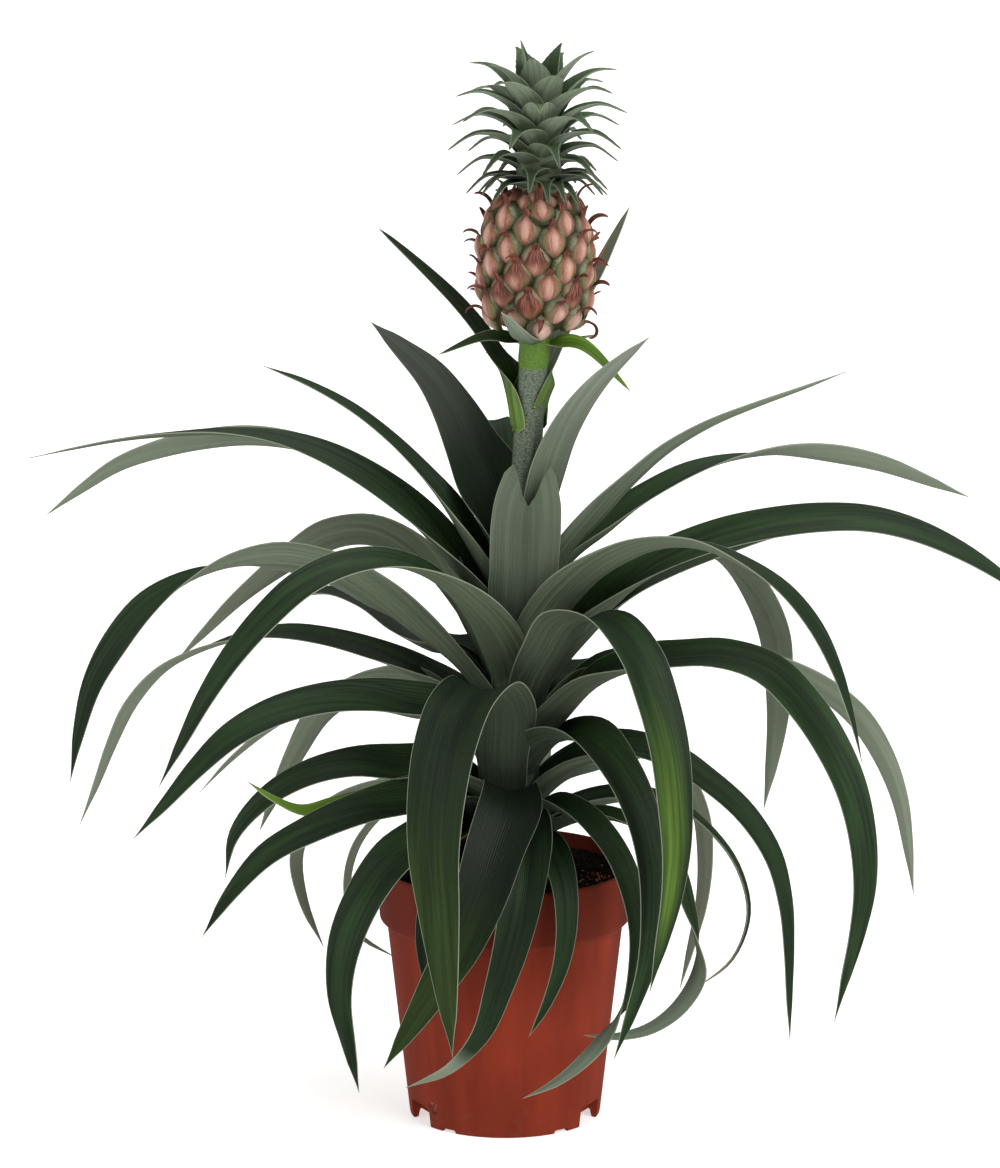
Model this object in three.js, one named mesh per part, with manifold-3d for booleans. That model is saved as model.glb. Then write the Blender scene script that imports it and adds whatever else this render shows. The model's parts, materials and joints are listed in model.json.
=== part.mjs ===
// A young pineapple plant in a round nursery pot. Millimetres, +Z up.
// The origin is the centre of the pot's underside, on the surface it stands on.
// +X is the plant's right as seen from its front, and +Y points away from that front.

import * as THREE from 'three';
import Module from 'manifold-3d';
import { mergeVertices } from 'three/addons/utils/BufferGeometryUtils.js';

const wasm = await Module();
wasm.setup();

// ---- Driving dimensions -------------------------------------------------------

const POT = {
  height: 122,
  rimRadius: 60,
  rimLowerRadius: 59,
  rimDepth: 29,
  rimChamfer: 3,
  lipHeight: 1,
  lipRound: 0.5,
  wallTopRadius: 55.5,
  baseRadius: 45,
  wall: 1.6,
  floorLift: 4,
  floor: 2,
  floorRound: 2,
  padRadius: 20,
  padDraft: 3,
  footRing: 2.5,
  footRingDraft: 1,
  footHeight: 12,
  notchHeight: 10,
  notchSpan: 22.4,
  notchTurns: [90, 208, 332],
  footRelief: 1.7,
  footReliefSpan: 10,
  footReliefTurn: 26,
  cutterDepth: 10,
  sides: 44,
};

const SOIL = {
  top: 115,
  mound: 2.5,
  crumb: 1.1,
  crumbRings: [0.2, 0.45, 0.75],
  gap: 0.4,
  holeGap: 0.8,
  cornerRound: 3,
  edgeRound: 1,
  sides: 36,
  seed: 11,
};

// The stem's centre line as [x, z], its outline as [radius, z], and its buried foot.
const STEM = {
  foot: 101,
  axis: [[0, 95], [0.2, 118], [1.4, 140], [4, 200], [8.5, 262], [10, 314], [13, 360], [14.5, 380]],
  outline: [
    [13, 101], [14, 112], [13.5, 130], [12, 190], [10.5, 240], [9, 280],
    [6.9, 305], [6.5, 358.5], [7, 361.5], [7.2, 370], [7, 376],
  ],
  sides: 18,
};

const FRUIT = {
  centre: 14,
  bottom: 376.5,
  outline: [
    [0, 0], [11, 0], [19, 3.5], [23.4, 13], [24.2, 28], [23.2, 44], [18, 57], [9, 62.5], [0, 62.5],
  ],
  sides: 14,
  eyes: 60,
  firstEye: 0.09,
  lastEye: 0.93,
  eyeSides: 6,
  eyeRadius: 6.8,
  eyeSquash: 0.94,
  eyeRise: 3,
  eyeSunk: 2.5,
  eyeShoulder: 0.86,
  eyeTurn: 0.25,
  beakRadius: 1.3,
  beakTip: 0.3,
  beakLength: 7,
  beakScatter: [0.6, 1.4],
  endEyeShare: 0.9,
  seed: 23,
};

const CROWN = {
  centre: 15.4,
  bottom: 439.4,
  outline: [[0, 0], [9.5, 0], [10.5, 7], [10, 20], [8, 38], [5, 52], [0, 60]],
  sides: 14,
  leaves: 44,
  firstTurn: 20,
  lowestLeaf: 2,
  highestLeaf: 42,
  leafSunk: 2.5,
  leafLength: [25, 38],
  lengthScatter: [0.88, 1.06],
  leafWidth: [10, 14],
  leafThickness: 1,
  leafHollow: 0.3,
  leafFoot: 0.8,
  leafTaper: 1.8,
  leafTip: 1,
  leafArch: 0.3,
  leafStations: [0, 0.3, 0.6, 0.85, 1],
  footShare: 0.33,
  climbEase: 1.1,
  longestLeaf: 0.67,
  widestLeaf: 0.45,
  topSpread: 0.12,
  topRise: 0.9,
  spreadEase: 7,
  riseEase: 1.3,
  lowestDroop: 0.04,
  seed: 37,
};

// Leaf blades: thickness on the midrib and at the margins, how steeply each half of the channel
// rises in degrees, the clearance at the foot, and the shares of the length over which it twists.
const BLADE = {
  ribThickness: 1.2,
  tipRibThickness: 0.8,
  marginThickness: 0.6,
  footShare: 0.62,
  footReach: 0.25,
  tipWidth: 1.2,
  footGap: 0.3,
  rise: 14,
  channel: 21,
  tipChannel: 8,
  footTwist: [0, 0.3],
  tipTwist: [0.35, 0.8],
  stationPitch: 23,
  fewestStations: 7,
  mostStations: 15,
};

const GOLDEN_ANGLE = 137.508;

// ---- Colours ------------------------------------------------------------------

const matte = (color, roughness) => new THREE.MeshStandardMaterial({ color, roughness, metalness: 0 });
const MATERIALS = {
  pot: matte(0x9c3f24, 0.55),
  soil: matte(0x1d1712, 0.95),
  stem: matte(0x6f7d5a, 0.6),
  fruit: matte(0xb4705a, 0.6),
  crown: matte(0x47604a, 0.55),
  leaf: matte(0x2c4229, 0.45),
};

// ---- Leaves -------------------------------------------------------------------
// Each leaf grows from the stem at height foot, on the side turn degrees round from +X.
// It starts off lean degrees from upright, then passes through the points of its route.
// width is its greatest width, taper how late it narrows, and roll its twist near the foot and
// towards the tip. tipTwist is the share of the length over which the second twist comes.

const LEAVES = [
  // The heart of the plant: the short notched leaf and the tall ones round the fruit stalk.
  { name: 'leaf_heart_front', turn: 276, foot: 231, lean: 6, width: 31, taper: 6, notch: 17,
    tipWidth: 20, route: [[9, -18, 262], [10, -21, 290], [12, -22, 314]] },
  { name: 'leaf_heart_left', turn: 128, foot: 266, lean: 16, width: 31, taper: 2.2, roll: [-15, -15],
    route: [[-11, 16, 304], [-31, 25, 344], [-48, 30, 361], [-63, 36, 373]] },
  { name: 'leaf_heart_right', turn: 300, foot: 276, lean: 16, width: 21, taper: 2.2,
    route: [[25, -12, 323], [38, -18, 348], [52, -26, 365], [66, -34, 379]] },
  { name: 'leaf_heart_back', turn: 92, foot: 254, lean: 26, width: 26, taper: 2.2,
    route: [[2, 34, 294], [-4, 54, 320], [-5, 88, 312]] },
  { name: 'leaf_stalk_left', turn: 130, foot: 330, lean: 14, width: 10, taper: 2.4,
    route: [[1, 6, 354], [-15, 18, 377], [-35, 26, 397], [-59, 32, 418]] },
  { name: 'leaf_stalk_right', turn: 50, foot: 326, lean: 12, width: 14, taper: 2.4,
    route: [[17, 17, 348], [29, 30, 374], [41, 33, 393], [58, 38, 427]] },

  // Upper tier, left.
  { name: 'leaf_01', turn: 184, foot: 248, lean: 26, width: 17, taper: 2.2, roll: [-20, -20],
    route: [[-30, 0, 296], [-54, -1, 325], [-82, -1, 346], [-112, 0, 359]] },
  { name: 'leaf_02', turn: 178, foot: 236, lean: 32, width: 25, taper: 2.6, roll: [-22, 8],
    route: [[-56, 4, 298], [-108, 10, 322], [-172, 12, 322], [-221, 12, 313]] },
  { name: 'leaf_03', turn: 150, foot: 226, lean: 30, width: 22, taper: 2.2, roll: [40, 62],
    route: [[-48, 36, 288], [-110, 62, 311], [-178, 85, 297], [-221, 100, 266]] },
  { name: 'leaf_04', turn: 140, foot: 210, lean: 36, width: 27, taper: 1.8, roll: [65, 30],
    route: [[-44, 42, 259], [-72, 60, 267], [-118, 90, 235], [-160, 116, 190]] },
  { name: 'leaf_05', turn: 222, foot: 214, lean: 20, width: 32, taper: 2.6, roll: [-12, -12],
    route: [[-20, -24, 250], [-46, -42, 273], [-84, -62, 272], [-124, -82, 238], [-157, -96, 183]] },
  { name: 'leaf_06', turn: 172, foot: 198, lean: 34, width: 26, taper: 2.8, roll: [55, -70],
    route: [[-38, 12, 226], [-84, 24, 256], [-122, 32, 258],
      [-166, 38, 238], [-195, 38, 198], [-206, 30, 152]] },

  // Upper tier, right.
  { name: 'leaf_07', turn: 348, foot: 252, lean: 26, width: 16, taper: 2.4, roll: [-25, -25],
    route: [[44, -8, 288], [80, -17, 326], [155, -36, 363]] },
  { name: 'leaf_08', turn: 24, foot: 246, lean: 28, width: 18, taper: 3, roll: [5, -70],
    route: [[48, 16, 278], [82, 24, 301], [119, 32, 310], [167, 42, 306], [220, 54, 285]] },
  { name: 'leaf_09', turn: 355, foot: 206, lean: 38, width: 30, taper: 3, roll: [20, 20], channel: 30,
    route: [[60, -8, 257], [107, -16, 281], [169, -26, 290], [215, -34, 275], [246, -40, 253]] },
  { name: 'leaf_10', turn: 324, foot: 220, lean: 24, width: 31, taper: 2, roll: [-15, 12],
    route: [[46, -30, 268], [82, -46, 284], [128, -60, 264], [151, -68, 229], [163, -72, 188]] },
  { name: 'leaf_11', turn: 42, foot: 224, lean: 34, width: 27, taper: 2.4, roll: [0, -40],
    route: [[62, 54, 252], [101, 80, 250], [128, 98, 212], [132, 104, 166], [126, 108, 117]] },

  // Middle tier, left.
  { name: 'leaf_12', turn: 158, foot: 184, lean: 40, width: 19, taper: 2.4, roll: [-15, 30],
    route: [[-44, 24, 207], [-83, 38, 219], [-121, 50, 218], [-170, 64, 192], [-205, 74, 119]] },
  { name: 'leaf_13', turn: 197, foot: 178, lean: 38, width: 30, taper: 2.4, roll: [-18, -18],
    route: [[-44, -16, 197], [-76, -26, 205], [-120, -42, 196], [-171, -60, 149]] },
  { name: 'leaf_14', turn: 144, foot: 180, lean: 42, width: 20, taper: 2.4, roll: [40, 40],
    route: [[-54, 46, 196], [-86, 68, 178], [-106, 82, 142], [-119, 88, 112]] },
  { name: 'leaf_15', turn: 188, foot: 152, lean: 46, width: 26, taper: 3, roll: [-18, -18],
    route: [[-46, -4, 164], [-80, -8, 168], [-108, -12, 157], [-125, -14, 140], [-131, -12, 117]] },

  // Middle tier, right.
  { name: 'leaf_16', turn: 334, foot: 176, lean: 40, width: 32, taper: 2.6, roll: [16, 26],
    route: [[42, -16, 210], [76, -34, 226], [117, -50, 226],
      [153, -64, 183], [164, -70, 134], [152, -66, 63]] },
  { name: 'leaf_17', turn: 20, foot: 180, lean: 42, width: 18, taper: 3, roll: [-25, -65],
    route: [[52, 16, 215], [92, 34, 215], [136, 52, 200], [170, 62, 174], [189, 67, 136], [197, 66, 86]] },
  { name: 'leaf_18', turn: 358, foot: 152, lean: 50, width: 22, taper: 2.8, roll: [18, 18],
    route: [[34, -1, 168], [62, -3, 175], [90, -8, 164],
      [118, -15, 139], [129, -18, 112], [134, -18, 39]] },
  { name: 'leaf_19', turn: 296, foot: 190, lean: 16, width: 33, taper: 3, roll: [0, 4],
    route: [[20, -28, 225], [33, -44, 248], [52, -64, 247], [69, -82, 212],
      [75, -90, 178], [76, -92, 140], [66, -92, 85]] },

  // Lower tier, front.
  { name: 'leaf_20', turn: 255, foot: 156, lean: 24, width: 36, taper: 3, roll: [0, 4],
    route: [[-3, -32, 204], [-13, -54, 218], [-25, -80, 200],
      [-31, -94, 161], [-29, -98, 122], [-24, -98, 56]] },
  { name: 'leaf_21', turn: 268, foot: 148, lean: 36, width: 31, taper: 2.4, roll: [0, 10],
    route: [[4, -44, 166], [-4, -66, 148], [-16, -80, 114], [-34, -82, 81], [-56, -80, 45]] },
  { name: 'leaf_22', turn: 314, foot: 168, lean: 34, width: 24, taper: 2.6,
    route: [[36, -38, 190], [55, -59, 174], [66, -72, 144], [65, -77, 98], [50, -79, 49]] },
  { name: 'leaf_23', turn: 284, foot: 134, lean: 46, width: 22, taper: 2.2, roll: [0, -30],
    route: [[9, -48, 146], [7, -69, 122], [-3, -72, 83], [-18, -72, 49], [-46, -68, 32]] },
  { name: 'leaf_24', turn: 246, foot: 124, lean: 56, width: 12, taper: 2.6,
    route: [[-20, -46, 136], [-34, -62, 122], [-38, -67, 98], [-33, -66, 71]] },
  { name: 'leaf_25', turn: 300, foot: 127, lean: 52, width: 14, taper: 2.4,
    route: [[24, -52, 134], [28, -66, 116], [24, -70, 86], [11, -69, 57]] },
  { name: 'leaf_26', turn: 316, foot: 142, lean: 46, width: 17, taper: 2.2,
    roll: [0, -120], tipTwist: [0.6, 0.85], stations: 12,
    route: [[37, -36, 150], [53, -54, 135], [61, -64, 103], [55, -68, 73], [31, -74, 42], [8, -78, 30]] },

  // Lower tier, left.
  { name: 'leaf_27', turn: 175, foot: 138, lean: 50, width: 13, taper: 1.6, roll: [-30, -50],
    route: [[-46, 3, 151], [-72, -12, 154], [-96, -31, 155], [-119, -50, 174]] },
  { name: 'leaf_28', turn: 168, foot: 130, lean: 50, width: 10, taper: 1.8,
    route: [[-40, 9, 146], [-56, 15, 150], [-67, 19, 153]] },
  { name: 'leaf_29', turn: 149, foot: 140, lean: 52, width: 16, taper: 3,
    route: [[-40, 38, 148], [-70, 64, 140], [-94, 84, 116], [-101, 92, 90], [-88, 90, 53]] },
  { name: 'leaf_30', turn: 208, foot: 142, lean: 50, width: 26, taper: 2.8, roll: [-15, -15],
    route: [[-44, -30, 155], [-72, -46, 155], [-112, -62, 139], [-139, -76, 107]] },
  { name: 'leaf_31', turn: 226, foot: 133, lean: 50, width: 26, taper: 2.6, roll: [-10, -10],
    route: [[-28, -42, 143], [-48, -63, 141], [-66, -82, 122], [-75, -88, 92], [-67, -88, 36]] },
  { name: 'leaf_32', turn: 138, foot: 128, lean: 56, width: 8, taper: 2.4,
    route: [[-38, 48, 138], [-62, 72, 122], [-76, 84, 92], [-70, 86, 60], [-53, 80, 51]] },

  // Lower tier, right.
  { name: 'leaf_33', turn: 14, foot: 134, lean: 54, width: 14, taper: 2.6, roll: [10, 20],
    route: [[38, 9, 145], [68, 16, 148], [92, 20, 135], [109, 21, 114],
      [115, 18, 93], [109, 14, 72], [90, 10, 56]] },
  { name: 'leaf_34', turn: 42, foot: 144, lean: 50, width: 17, taper: 2.6,
    route: [[48, 42, 157], [74, 66, 155], [92, 82, 128], [96, 86, 87], [85, 85, 33]] },
  { name: 'leaf_35', turn: 340, foot: 132, lean: 54, width: 14, taper: 2.6,
    roll: [0, -100], tipTwist: [0.5, 0.75], stations: 12,
    route: [[44, -16, 147], [72, -32, 140], [86, -40, 104], [90, -43, 82],
      [78, -49, 62], [58, -56, 54], [36, -60, 55]] },

  // The side away from the front, spaced as the front is.
  { name: 'leaf_36', turn: 98, foot: 230, lean: 30, width: 27, taper: 2.4,
    route: [[2, 40, 270], [-3, 84, 280], [-7, 130, 262], [-9, 158, 210]] },
  { name: 'leaf_37', turn: 112, foot: 218, lean: 34, width: 26, taper: 2.4,
    route: [[-4, 44, 244], [-10, 86, 252], [-13, 128, 232], [-14, 154, 176]] },
  { name: 'leaf_38', turn: 76, foot: 212, lean: 34, width: 28, taper: 2.4,
    route: [[14, 44, 236], [20, 88, 242], [24, 130, 218], [26, 154, 160]] },
  { name: 'leaf_39', turn: 132, foot: 204, lean: 38, width: 20, taper: 2.2,
    route: [[-38, 46, 214], [-76, 78, 232], [-106, 90, 226], [-128, 100, 206], [-146, 112, 172]] },
  { name: 'leaf_40', turn: 46, foot: 190, lean: 40, width: 25, taper: 2.4,
    route: [[46, 40, 200], [96, 70, 206], [134, 84, 190], [156, 92, 165], [168, 98, 136], [174, 100, 95]] },
  { name: 'leaf_41', turn: 92, foot: 184, lean: 42, width: 30, taper: 2.6,
    route: [[2, 48, 204], [2, 92, 202], [2, 124, 156], [2, 132, 90]] },
  { name: 'leaf_42', turn: 66, foot: 164, lean: 46, width: 22, taper: 2.4,
    route: [[14, 46, 180], [15, 84, 176], [15, 107, 134], [14, 111, 78]] },
  { name: 'leaf_43', turn: 118, foot: 160, lean: 46, width: 23, taper: 2.4,
    route: [[-14, 46, 176], [-22, 84, 170], [-27, 106, 128], [-28, 110, 70]] },
  { name: 'leaf_44', turn: 90, foot: 138, lean: 52, width: 22, taper: 2.4,
    route: [[2, 46, 152], [2, 76, 140], [3, 88, 100], [4, 88, 58]] },
  { name: 'leaf_45', turn: 30, foot: 200, lean: 42, width: 22, taper: 2.4,
    route: [[58, 28, 243], [104, 41, 262], [150, 61, 270], [192, 80, 264], [220, 92, 251]] },
  { name: 'leaf_46', turn: 130, foot: 172, lean: 44, width: 21, taper: 2.4,
    route: [[-48, 60, 182], [-78, 94, 176], [-104, 116, 162], [-130, 128, 141], [-150, 132, 120]] },
];

// The bracts under the fruit, shaped like leaves, each grown into the stalk's collar.
const BRACT_SUNK = 5;
const BRACT_STATIONS = 5;
const BRACTS = [
  { turn: 182, foot: 369, lean: 70, width: 8, taper: 1.8, roll: [-40, -40],
    route: [[-8, 0, 372.5], [-31, 0, 364]] },
  { turn: 268, foot: 370, lean: 70, width: 11, taper: 2.2, route: [[8, -27, 376], [-2, -36, 391]] },
  { turn: 340, foot: 369, lean: 70, width: 8, taper: 2, roll: [45, 45],
    route: [[36, -9, 370], [58, -18, 350]] },
  { turn: 20, foot: 368, lean: 70, width: 5, taper: 1.6, route: [[29, 4, 370], [43, 8, 372]] },
  { turn: 130, foot: 367, lean: 80, width: 5, taper: 1.6, route: [[0, 16, 369], [-9, 26, 360]] },
  { turn: 88, foot: 369, lean: 70, width: 6, taper: 1.6, route: [[13, 22, 373], [13, 36, 367]] },
];

// ---- Shared helpers -----------------------------------------------------------

const radians = THREE.MathUtils.degToRad;
const mix = THREE.MathUtils.lerp;
const smoothstep = THREE.MathUtils.smoothstep;

function seededRandom(seed) {
  let state = seed;
  return () => {
    state = (state * 1664525 + 1013904223) % 4294967296;
    return state / 4294967296;
  };
}

function outward(turn) {
  return new THREE.Vector3(Math.cos(radians(turn)), Math.sin(radians(turn)), 0);
}

function readTable(table, height) {
  for (let i = 1; i < table.length; i += 1) {
    const [low, lowHeight] = table[i - 1];
    const [high, highHeight] = table[i];
    if (height <= highHeight) return mix(low, high, (height - lowHeight) / (highHeight - lowHeight));
  }
  return table[table.length - 1][0];
}

const stemAxis = new THREE.CatmullRomCurve3(
  STEM.axis.map(([x, z]) => new THREE.Vector3(x, 0, z)), false, 'centripetal');

function stemCentre(height) {
  let low = 0;
  let high = 1;
  for (let step = 0; step < 30; step += 1) {
    const middle = (low + high) / 2;
    if (stemAxis.getPoint(middle).z < height) low = middle;
    else high = middle;
  }
  return stemAxis.getPoint(low);
}

function meshFrom(points, triangles) {
  const geometry = new THREE.BufferGeometry();
  const numbers = points.flatMap((point) => point.toArray());
  geometry.setAttribute('position', new THREE.Float32BufferAttribute(numbers, 3));
  geometry.setIndex(triangles.flat());
  return geometry;
}

function toSolid(source) {
  const bare = source.clone();
  bare.deleteAttribute('normal');
  bare.deleteAttribute('uv');
  const merged = mergeVertices(bare, 1e-4);
  return new wasm.Manifold(new wasm.Mesh({
    numProp: 3,
    vertProperties: new Float32Array(merged.attributes.position.array),
    triVerts: new Uint32Array(merged.index.array),
  }));
}

function toGeometry(solid) {
  const mesh = solid.getMesh();
  const geometry = new THREE.BufferGeometry();
  geometry.setAttribute('position', new THREE.BufferAttribute(mesh.vertProperties, 3));
  geometry.setIndex(new THREE.BufferAttribute(mesh.triVerts, 1));
  return geometry;
}

function lathe(outline, sides) {
  const geometry = new THREE.LatheGeometry(outline.map(([r, z]) => new THREE.Vector2(r, z)), sides);
  return geometry.rotateX(Math.PI / 2);
}

// Rings of points, all of one size, joined into a closed tube. Each end is a fan from the ring's
// second point, and diagonal(j) tells which way the j-th side of the tube is split.
function loft(rings, diagonal = () => false) {
  const size = rings[0].length;
  const triangles = [];
  for (let i = 0; i + 1 < rings.length; i += 1) {
    for (let j = 0; j < size; j += 1) {
      const a = i * size + j;
      const b = i * size + (j + 1) % size;
      const c = b + size;
      const d = a + size;
      if (diagonal(j)) triangles.push([a, b, d], [b, c, d]);
      else triangles.push([a, b, c], [a, c, d]);
    }
  }
  const last = (rings.length - 1) * size;
  for (let j = 2; j < size; j += 1) {
    const next = (j + 1) % size;
    triangles.push([1, next, j], [last + 1, last + j, last + next]);
  }
  return meshFrom(rings.flat(), triangles);
}

// ---- Blade ---------------------------------------------------------------------
// A blade is a shallow channel: its upper side is hollow and faces the stem at the foot.

// A blade turns to its first roll near the foot, and on to its second towards the tip.
function rollAt(leaf, share) {
  const [first, second] = leaf.roll ?? [0, 0];
  const near = smoothstep(share, ...BLADE.footTwist);
  const far = smoothstep(share, ...(leaf.tipTwist ?? BLADE.tipTwist));
  return first * near + (second - first) * far;
}

function bladeRings(route, side, leaf) {
  const curve = new THREE.CatmullRomCurve3(route, false, 'centripetal');
  const stations = leaf.stations ?? THREE.MathUtils.clamp(
    Math.round(curve.getLength() / BLADE.stationPitch), BLADE.fewestStations, BLADE.mostStations);
  const halfTip = (leaf.tipWidth ?? BLADE.tipWidth) / 2;
  const channel = leaf.channel ?? BLADE.channel;
  const rings = [];
  const edge = BLADE.marginThickness / 2;
  let across = side.clone();
  for (let i = 0; i <= stations; i += 1) {
    const share = i / stations;
    const tangent = curve.getTangentAt(share);
    across = across.addScaledVector(tangent, -across.dot(tangent)).normalize();
    const turned = across.clone().applyAxisAngle(tangent, radians(rollAt(leaf, share)));
    const hollow = new THREE.Vector3().crossVectors(tangent, turned).normalize();
    const opening = mix(BLADE.footShare, 1, smoothstep(share, 0, BLADE.footReach));
    const narrowing = 1 - share ** leaf.taper;
    const broad = (leaf.width / 2) * opening;
    const half = Math.max(halfTip, mix(halfTip, broad, narrowing));
    const angle = radians(mix(channel, BLADE.tipChannel, share));
    const rib = mix(BLADE.ribThickness, BLADE.tipRibThickness, share) / 2;
    const cut = (leaf.notch ?? 0) * share ** 3;
    const middle = curve.getPointAt(share).addScaledVector(tangent, -cut);
    const margin = (sign) => curve.getPointAt(share)
      .addScaledVector(turned, sign * half * Math.cos(angle))
      .addScaledVector(hollow, half * Math.sin(angle));
    const lift = (sign) => hollow.clone().multiplyScalar(Math.cos(angle))
      .addScaledVector(turned, -sign * Math.sin(angle));
    rings.push([
      margin(1).addScaledVector(lift(1), edge),
      middle.clone().addScaledVector(hollow, rib),
      margin(-1).addScaledVector(lift(-1), edge),
      margin(-1).addScaledVector(lift(-1), -edge),
      middle.clone().addScaledVector(hollow, -rib),
      margin(1).addScaledVector(lift(1), -edge),
    ]);
  }
  return rings;
}

// Both faces are split alike, from the midrib out to the next station's margins.
const bladeDiagonal = (j) => j === 0 || j === 3;

// The foot stands off the stem's surface by the gap, where the two halves of its channel touch round it.
function blade(leaf, sunk = 0) {
  const centre = stemCentre(leaf.foot);
  const radius = readTable(STEM.outline, leaf.foot);
  const radial = outward(leaf.turn);
  const lean = radians(leaf.lean);
  const slope = Math.tan(radians(leaf.channel ?? BLADE.channel)) * Math.cos(lean);
  const hug = (radius + BLADE.footGap) * Math.hypot(1, slope);
  const reach = hug + (BLADE.ribThickness / 2) * Math.cos(lean) - sunk;
  const foot = centre.clone().addScaledVector(radial, reach);
  const lift = foot.clone()
    .addScaledVector(radial, BLADE.rise * Math.sin(lean))
    .addScaledVector(new THREE.Vector3(0, 0, 1), BLADE.rise * Math.cos(lean));
  const start = sunk > 0 ? [foot] : [foot, lift];
  const route = [...start, ...leaf.route.map(([x, y, z]) => new THREE.Vector3(x, y, z))];
  const side = new THREE.Vector3(-radial.y, radial.x, 0);
  return loft(bladeRings(route, side, leaf), bladeDiagonal);
}

// ---- Pot -----------------------------------------------------------------------

function pot() {
  const wallRadius = (z) => mix(POT.baseRadius, POT.wallTopRadius, z / (POT.height - POT.rimDepth));
  const shoulder = POT.height - POT.rimDepth;
  const floorTop = POT.floorLift + POT.floor;
  const body = lathe([
    [0, 0], [POT.padRadius, 0], [POT.padRadius + POT.padDraft, POT.floorLift],
    [POT.baseRadius - POT.footRing - POT.footRingDraft, POT.floorLift],
    [POT.baseRadius - POT.footRing, 0], [POT.baseRadius, 0],
    [wallRadius(POT.footHeight), POT.footHeight], [wallRadius(shoulder), shoulder],
    [POT.rimLowerRadius - POT.rimChamfer, shoulder],
    [POT.rimLowerRadius, shoulder + POT.rimChamfer],
    [POT.rimRadius, POT.height - POT.lipHeight], [POT.rimRadius - POT.lipRound, POT.height],
    [POT.rimRadius - POT.wall, POT.height],
    [POT.rimLowerRadius - POT.wall, shoulder + POT.rimChamfer + POT.lipHeight],
    [wallRadius(shoulder) - POT.wall, shoulder + POT.lipRound],
    [wallRadius(floorTop + POT.floorRound) - POT.wall, floorTop + POT.floorRound],
    [POT.baseRadius - POT.wall - POT.footRing, floorTop],
    [POT.padRadius, floorTop], [POT.padRadius - POT.padDraft, POT.floor], [0, POT.floor],
  ], POT.sides);
  let solid = toSolid(body);
  const wedge = (turn, span, height) => {
    const width = 2 * POT.baseRadius * Math.sin(radians(span / 2));
    const box = new THREE.BoxGeometry(POT.cutterDepth, width, height * 2);
    box.translate(POT.baseRadius, 0, 0);
    return toSolid(box.rotateZ(radians(turn)));
  };
  for (const turn of POT.notchTurns) {
    solid = solid.subtract(wedge(turn, POT.notchSpan, POT.notchHeight));
    for (const side of [-POT.footReliefTurn, POT.footReliefTurn]) {
      solid = solid.subtract(wedge(turn + side, POT.footReliefSpan, POT.footRelief));
    }
  }
  return toGeometry(solid);
}

// ---- Soil ----------------------------------------------------------------------
// The root ball fills the pot and has a plain hole for the stem.

function soil() {
  const floor = POT.floorLift + POT.floor + SOIL.gap;
  const shoulder = POT.height - POT.rimDepth;
  const holeRadius = readTable(STEM.outline, SOIL.top) + SOIL.holeGap;
  const wallRadius = (z) => mix(POT.baseRadius, POT.wallTopRadius, z / shoulder) - POT.wall - SOIL.gap;
  const topRadius = POT.rimLowerRadius - POT.wall - SOIL.gap;
  const rings = SOIL.crumbRings.map((share) => {
    const radius = mix(topRadius, holeRadius, share);
    return [radius, SOIL.top + SOIL.mound * Math.sin(share * Math.PI / 2)];
  });
  const outline = [
    [0, floor], [wallRadius(floor) - SOIL.cornerRound, floor],
    [wallRadius(floor + POT.floorLift), floor + POT.floorLift],
    [wallRadius(shoulder), shoulder + POT.lipRound],
    [topRadius - SOIL.edgeRound, shoulder + POT.rimChamfer + SOIL.cornerRound],
    [topRadius, SOIL.top - SOIL.edgeRound], ...rings,
    [holeRadius, SOIL.top + SOIL.mound], [holeRadius, STEM.foot - SOIL.gap], [0, STEM.foot - SOIL.gap],
  ];
  const geometry = lathe(outline, SOIL.sides);
  const random = seededRandom(SOIL.seed);
  const firstRing = outline.indexOf(rings[0]);
  for (let row = firstRing; row < firstRing + rings.length; row += 1) {
    const crumbs = Array.from({ length: SOIL.sides }, () => (random() - 0.5) * 2 * SOIL.crumb);
    for (let column = 0; column <= SOIL.sides; column += 1) {
      const vertex = column * outline.length + row;
      const height = geometry.attributes.position.getZ(vertex) + crumbs[column % SOIL.sides];
      geometry.attributes.position.setZ(vertex, height);
    }
  }
  return toGeometry(toSolid(geometry));
}

// ---- Stem, with its collar and the bracts under the fruit ----------------------

function stem() {
  const rings = STEM.outline.map(([radius, z]) => {
    const centre = stemCentre(z);
    return Array.from({ length: STEM.sides }, (_, j) => (
      outward(360 * j / STEM.sides).multiplyScalar(radius).add(centre)));
  });
  let solid = toSolid(loft(rings));
  for (const bract of BRACTS) {
    solid = solid.add(toSolid(blade({ ...bract, stations: BRACT_STATIONS }, BRACT_SUNK)));
  }
  return toGeometry(solid);
}

// ---- Fruit ---------------------------------------------------------------------
// A barrel-shaped core under spirals of flat-topped eyes, each with a small dry beak.

// The point of an outline at a share of its surface, with its slope.
function outlinePoint(outline, share) {
  const bands = outline.slice(1).map(([radius, z], i) => {
    const [before, low] = outline[i];
    return { before, radius, low, z, area: (before + radius) * Math.hypot(radius - before, z - low) };
  });
  let left = share * bands.reduce((sum, band) => sum + band.area, 0);
  for (const band of bands) {
    if (left <= band.area) {
      const part = left / band.area;
      return {
        radius: mix(band.before, band.radius, part),
        z: mix(band.low, band.z, part),
        slope: Math.atan2(band.z - band.low, band.radius - band.before),
      };
    }
    left -= band.area;
  }
  return null;
}

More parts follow.
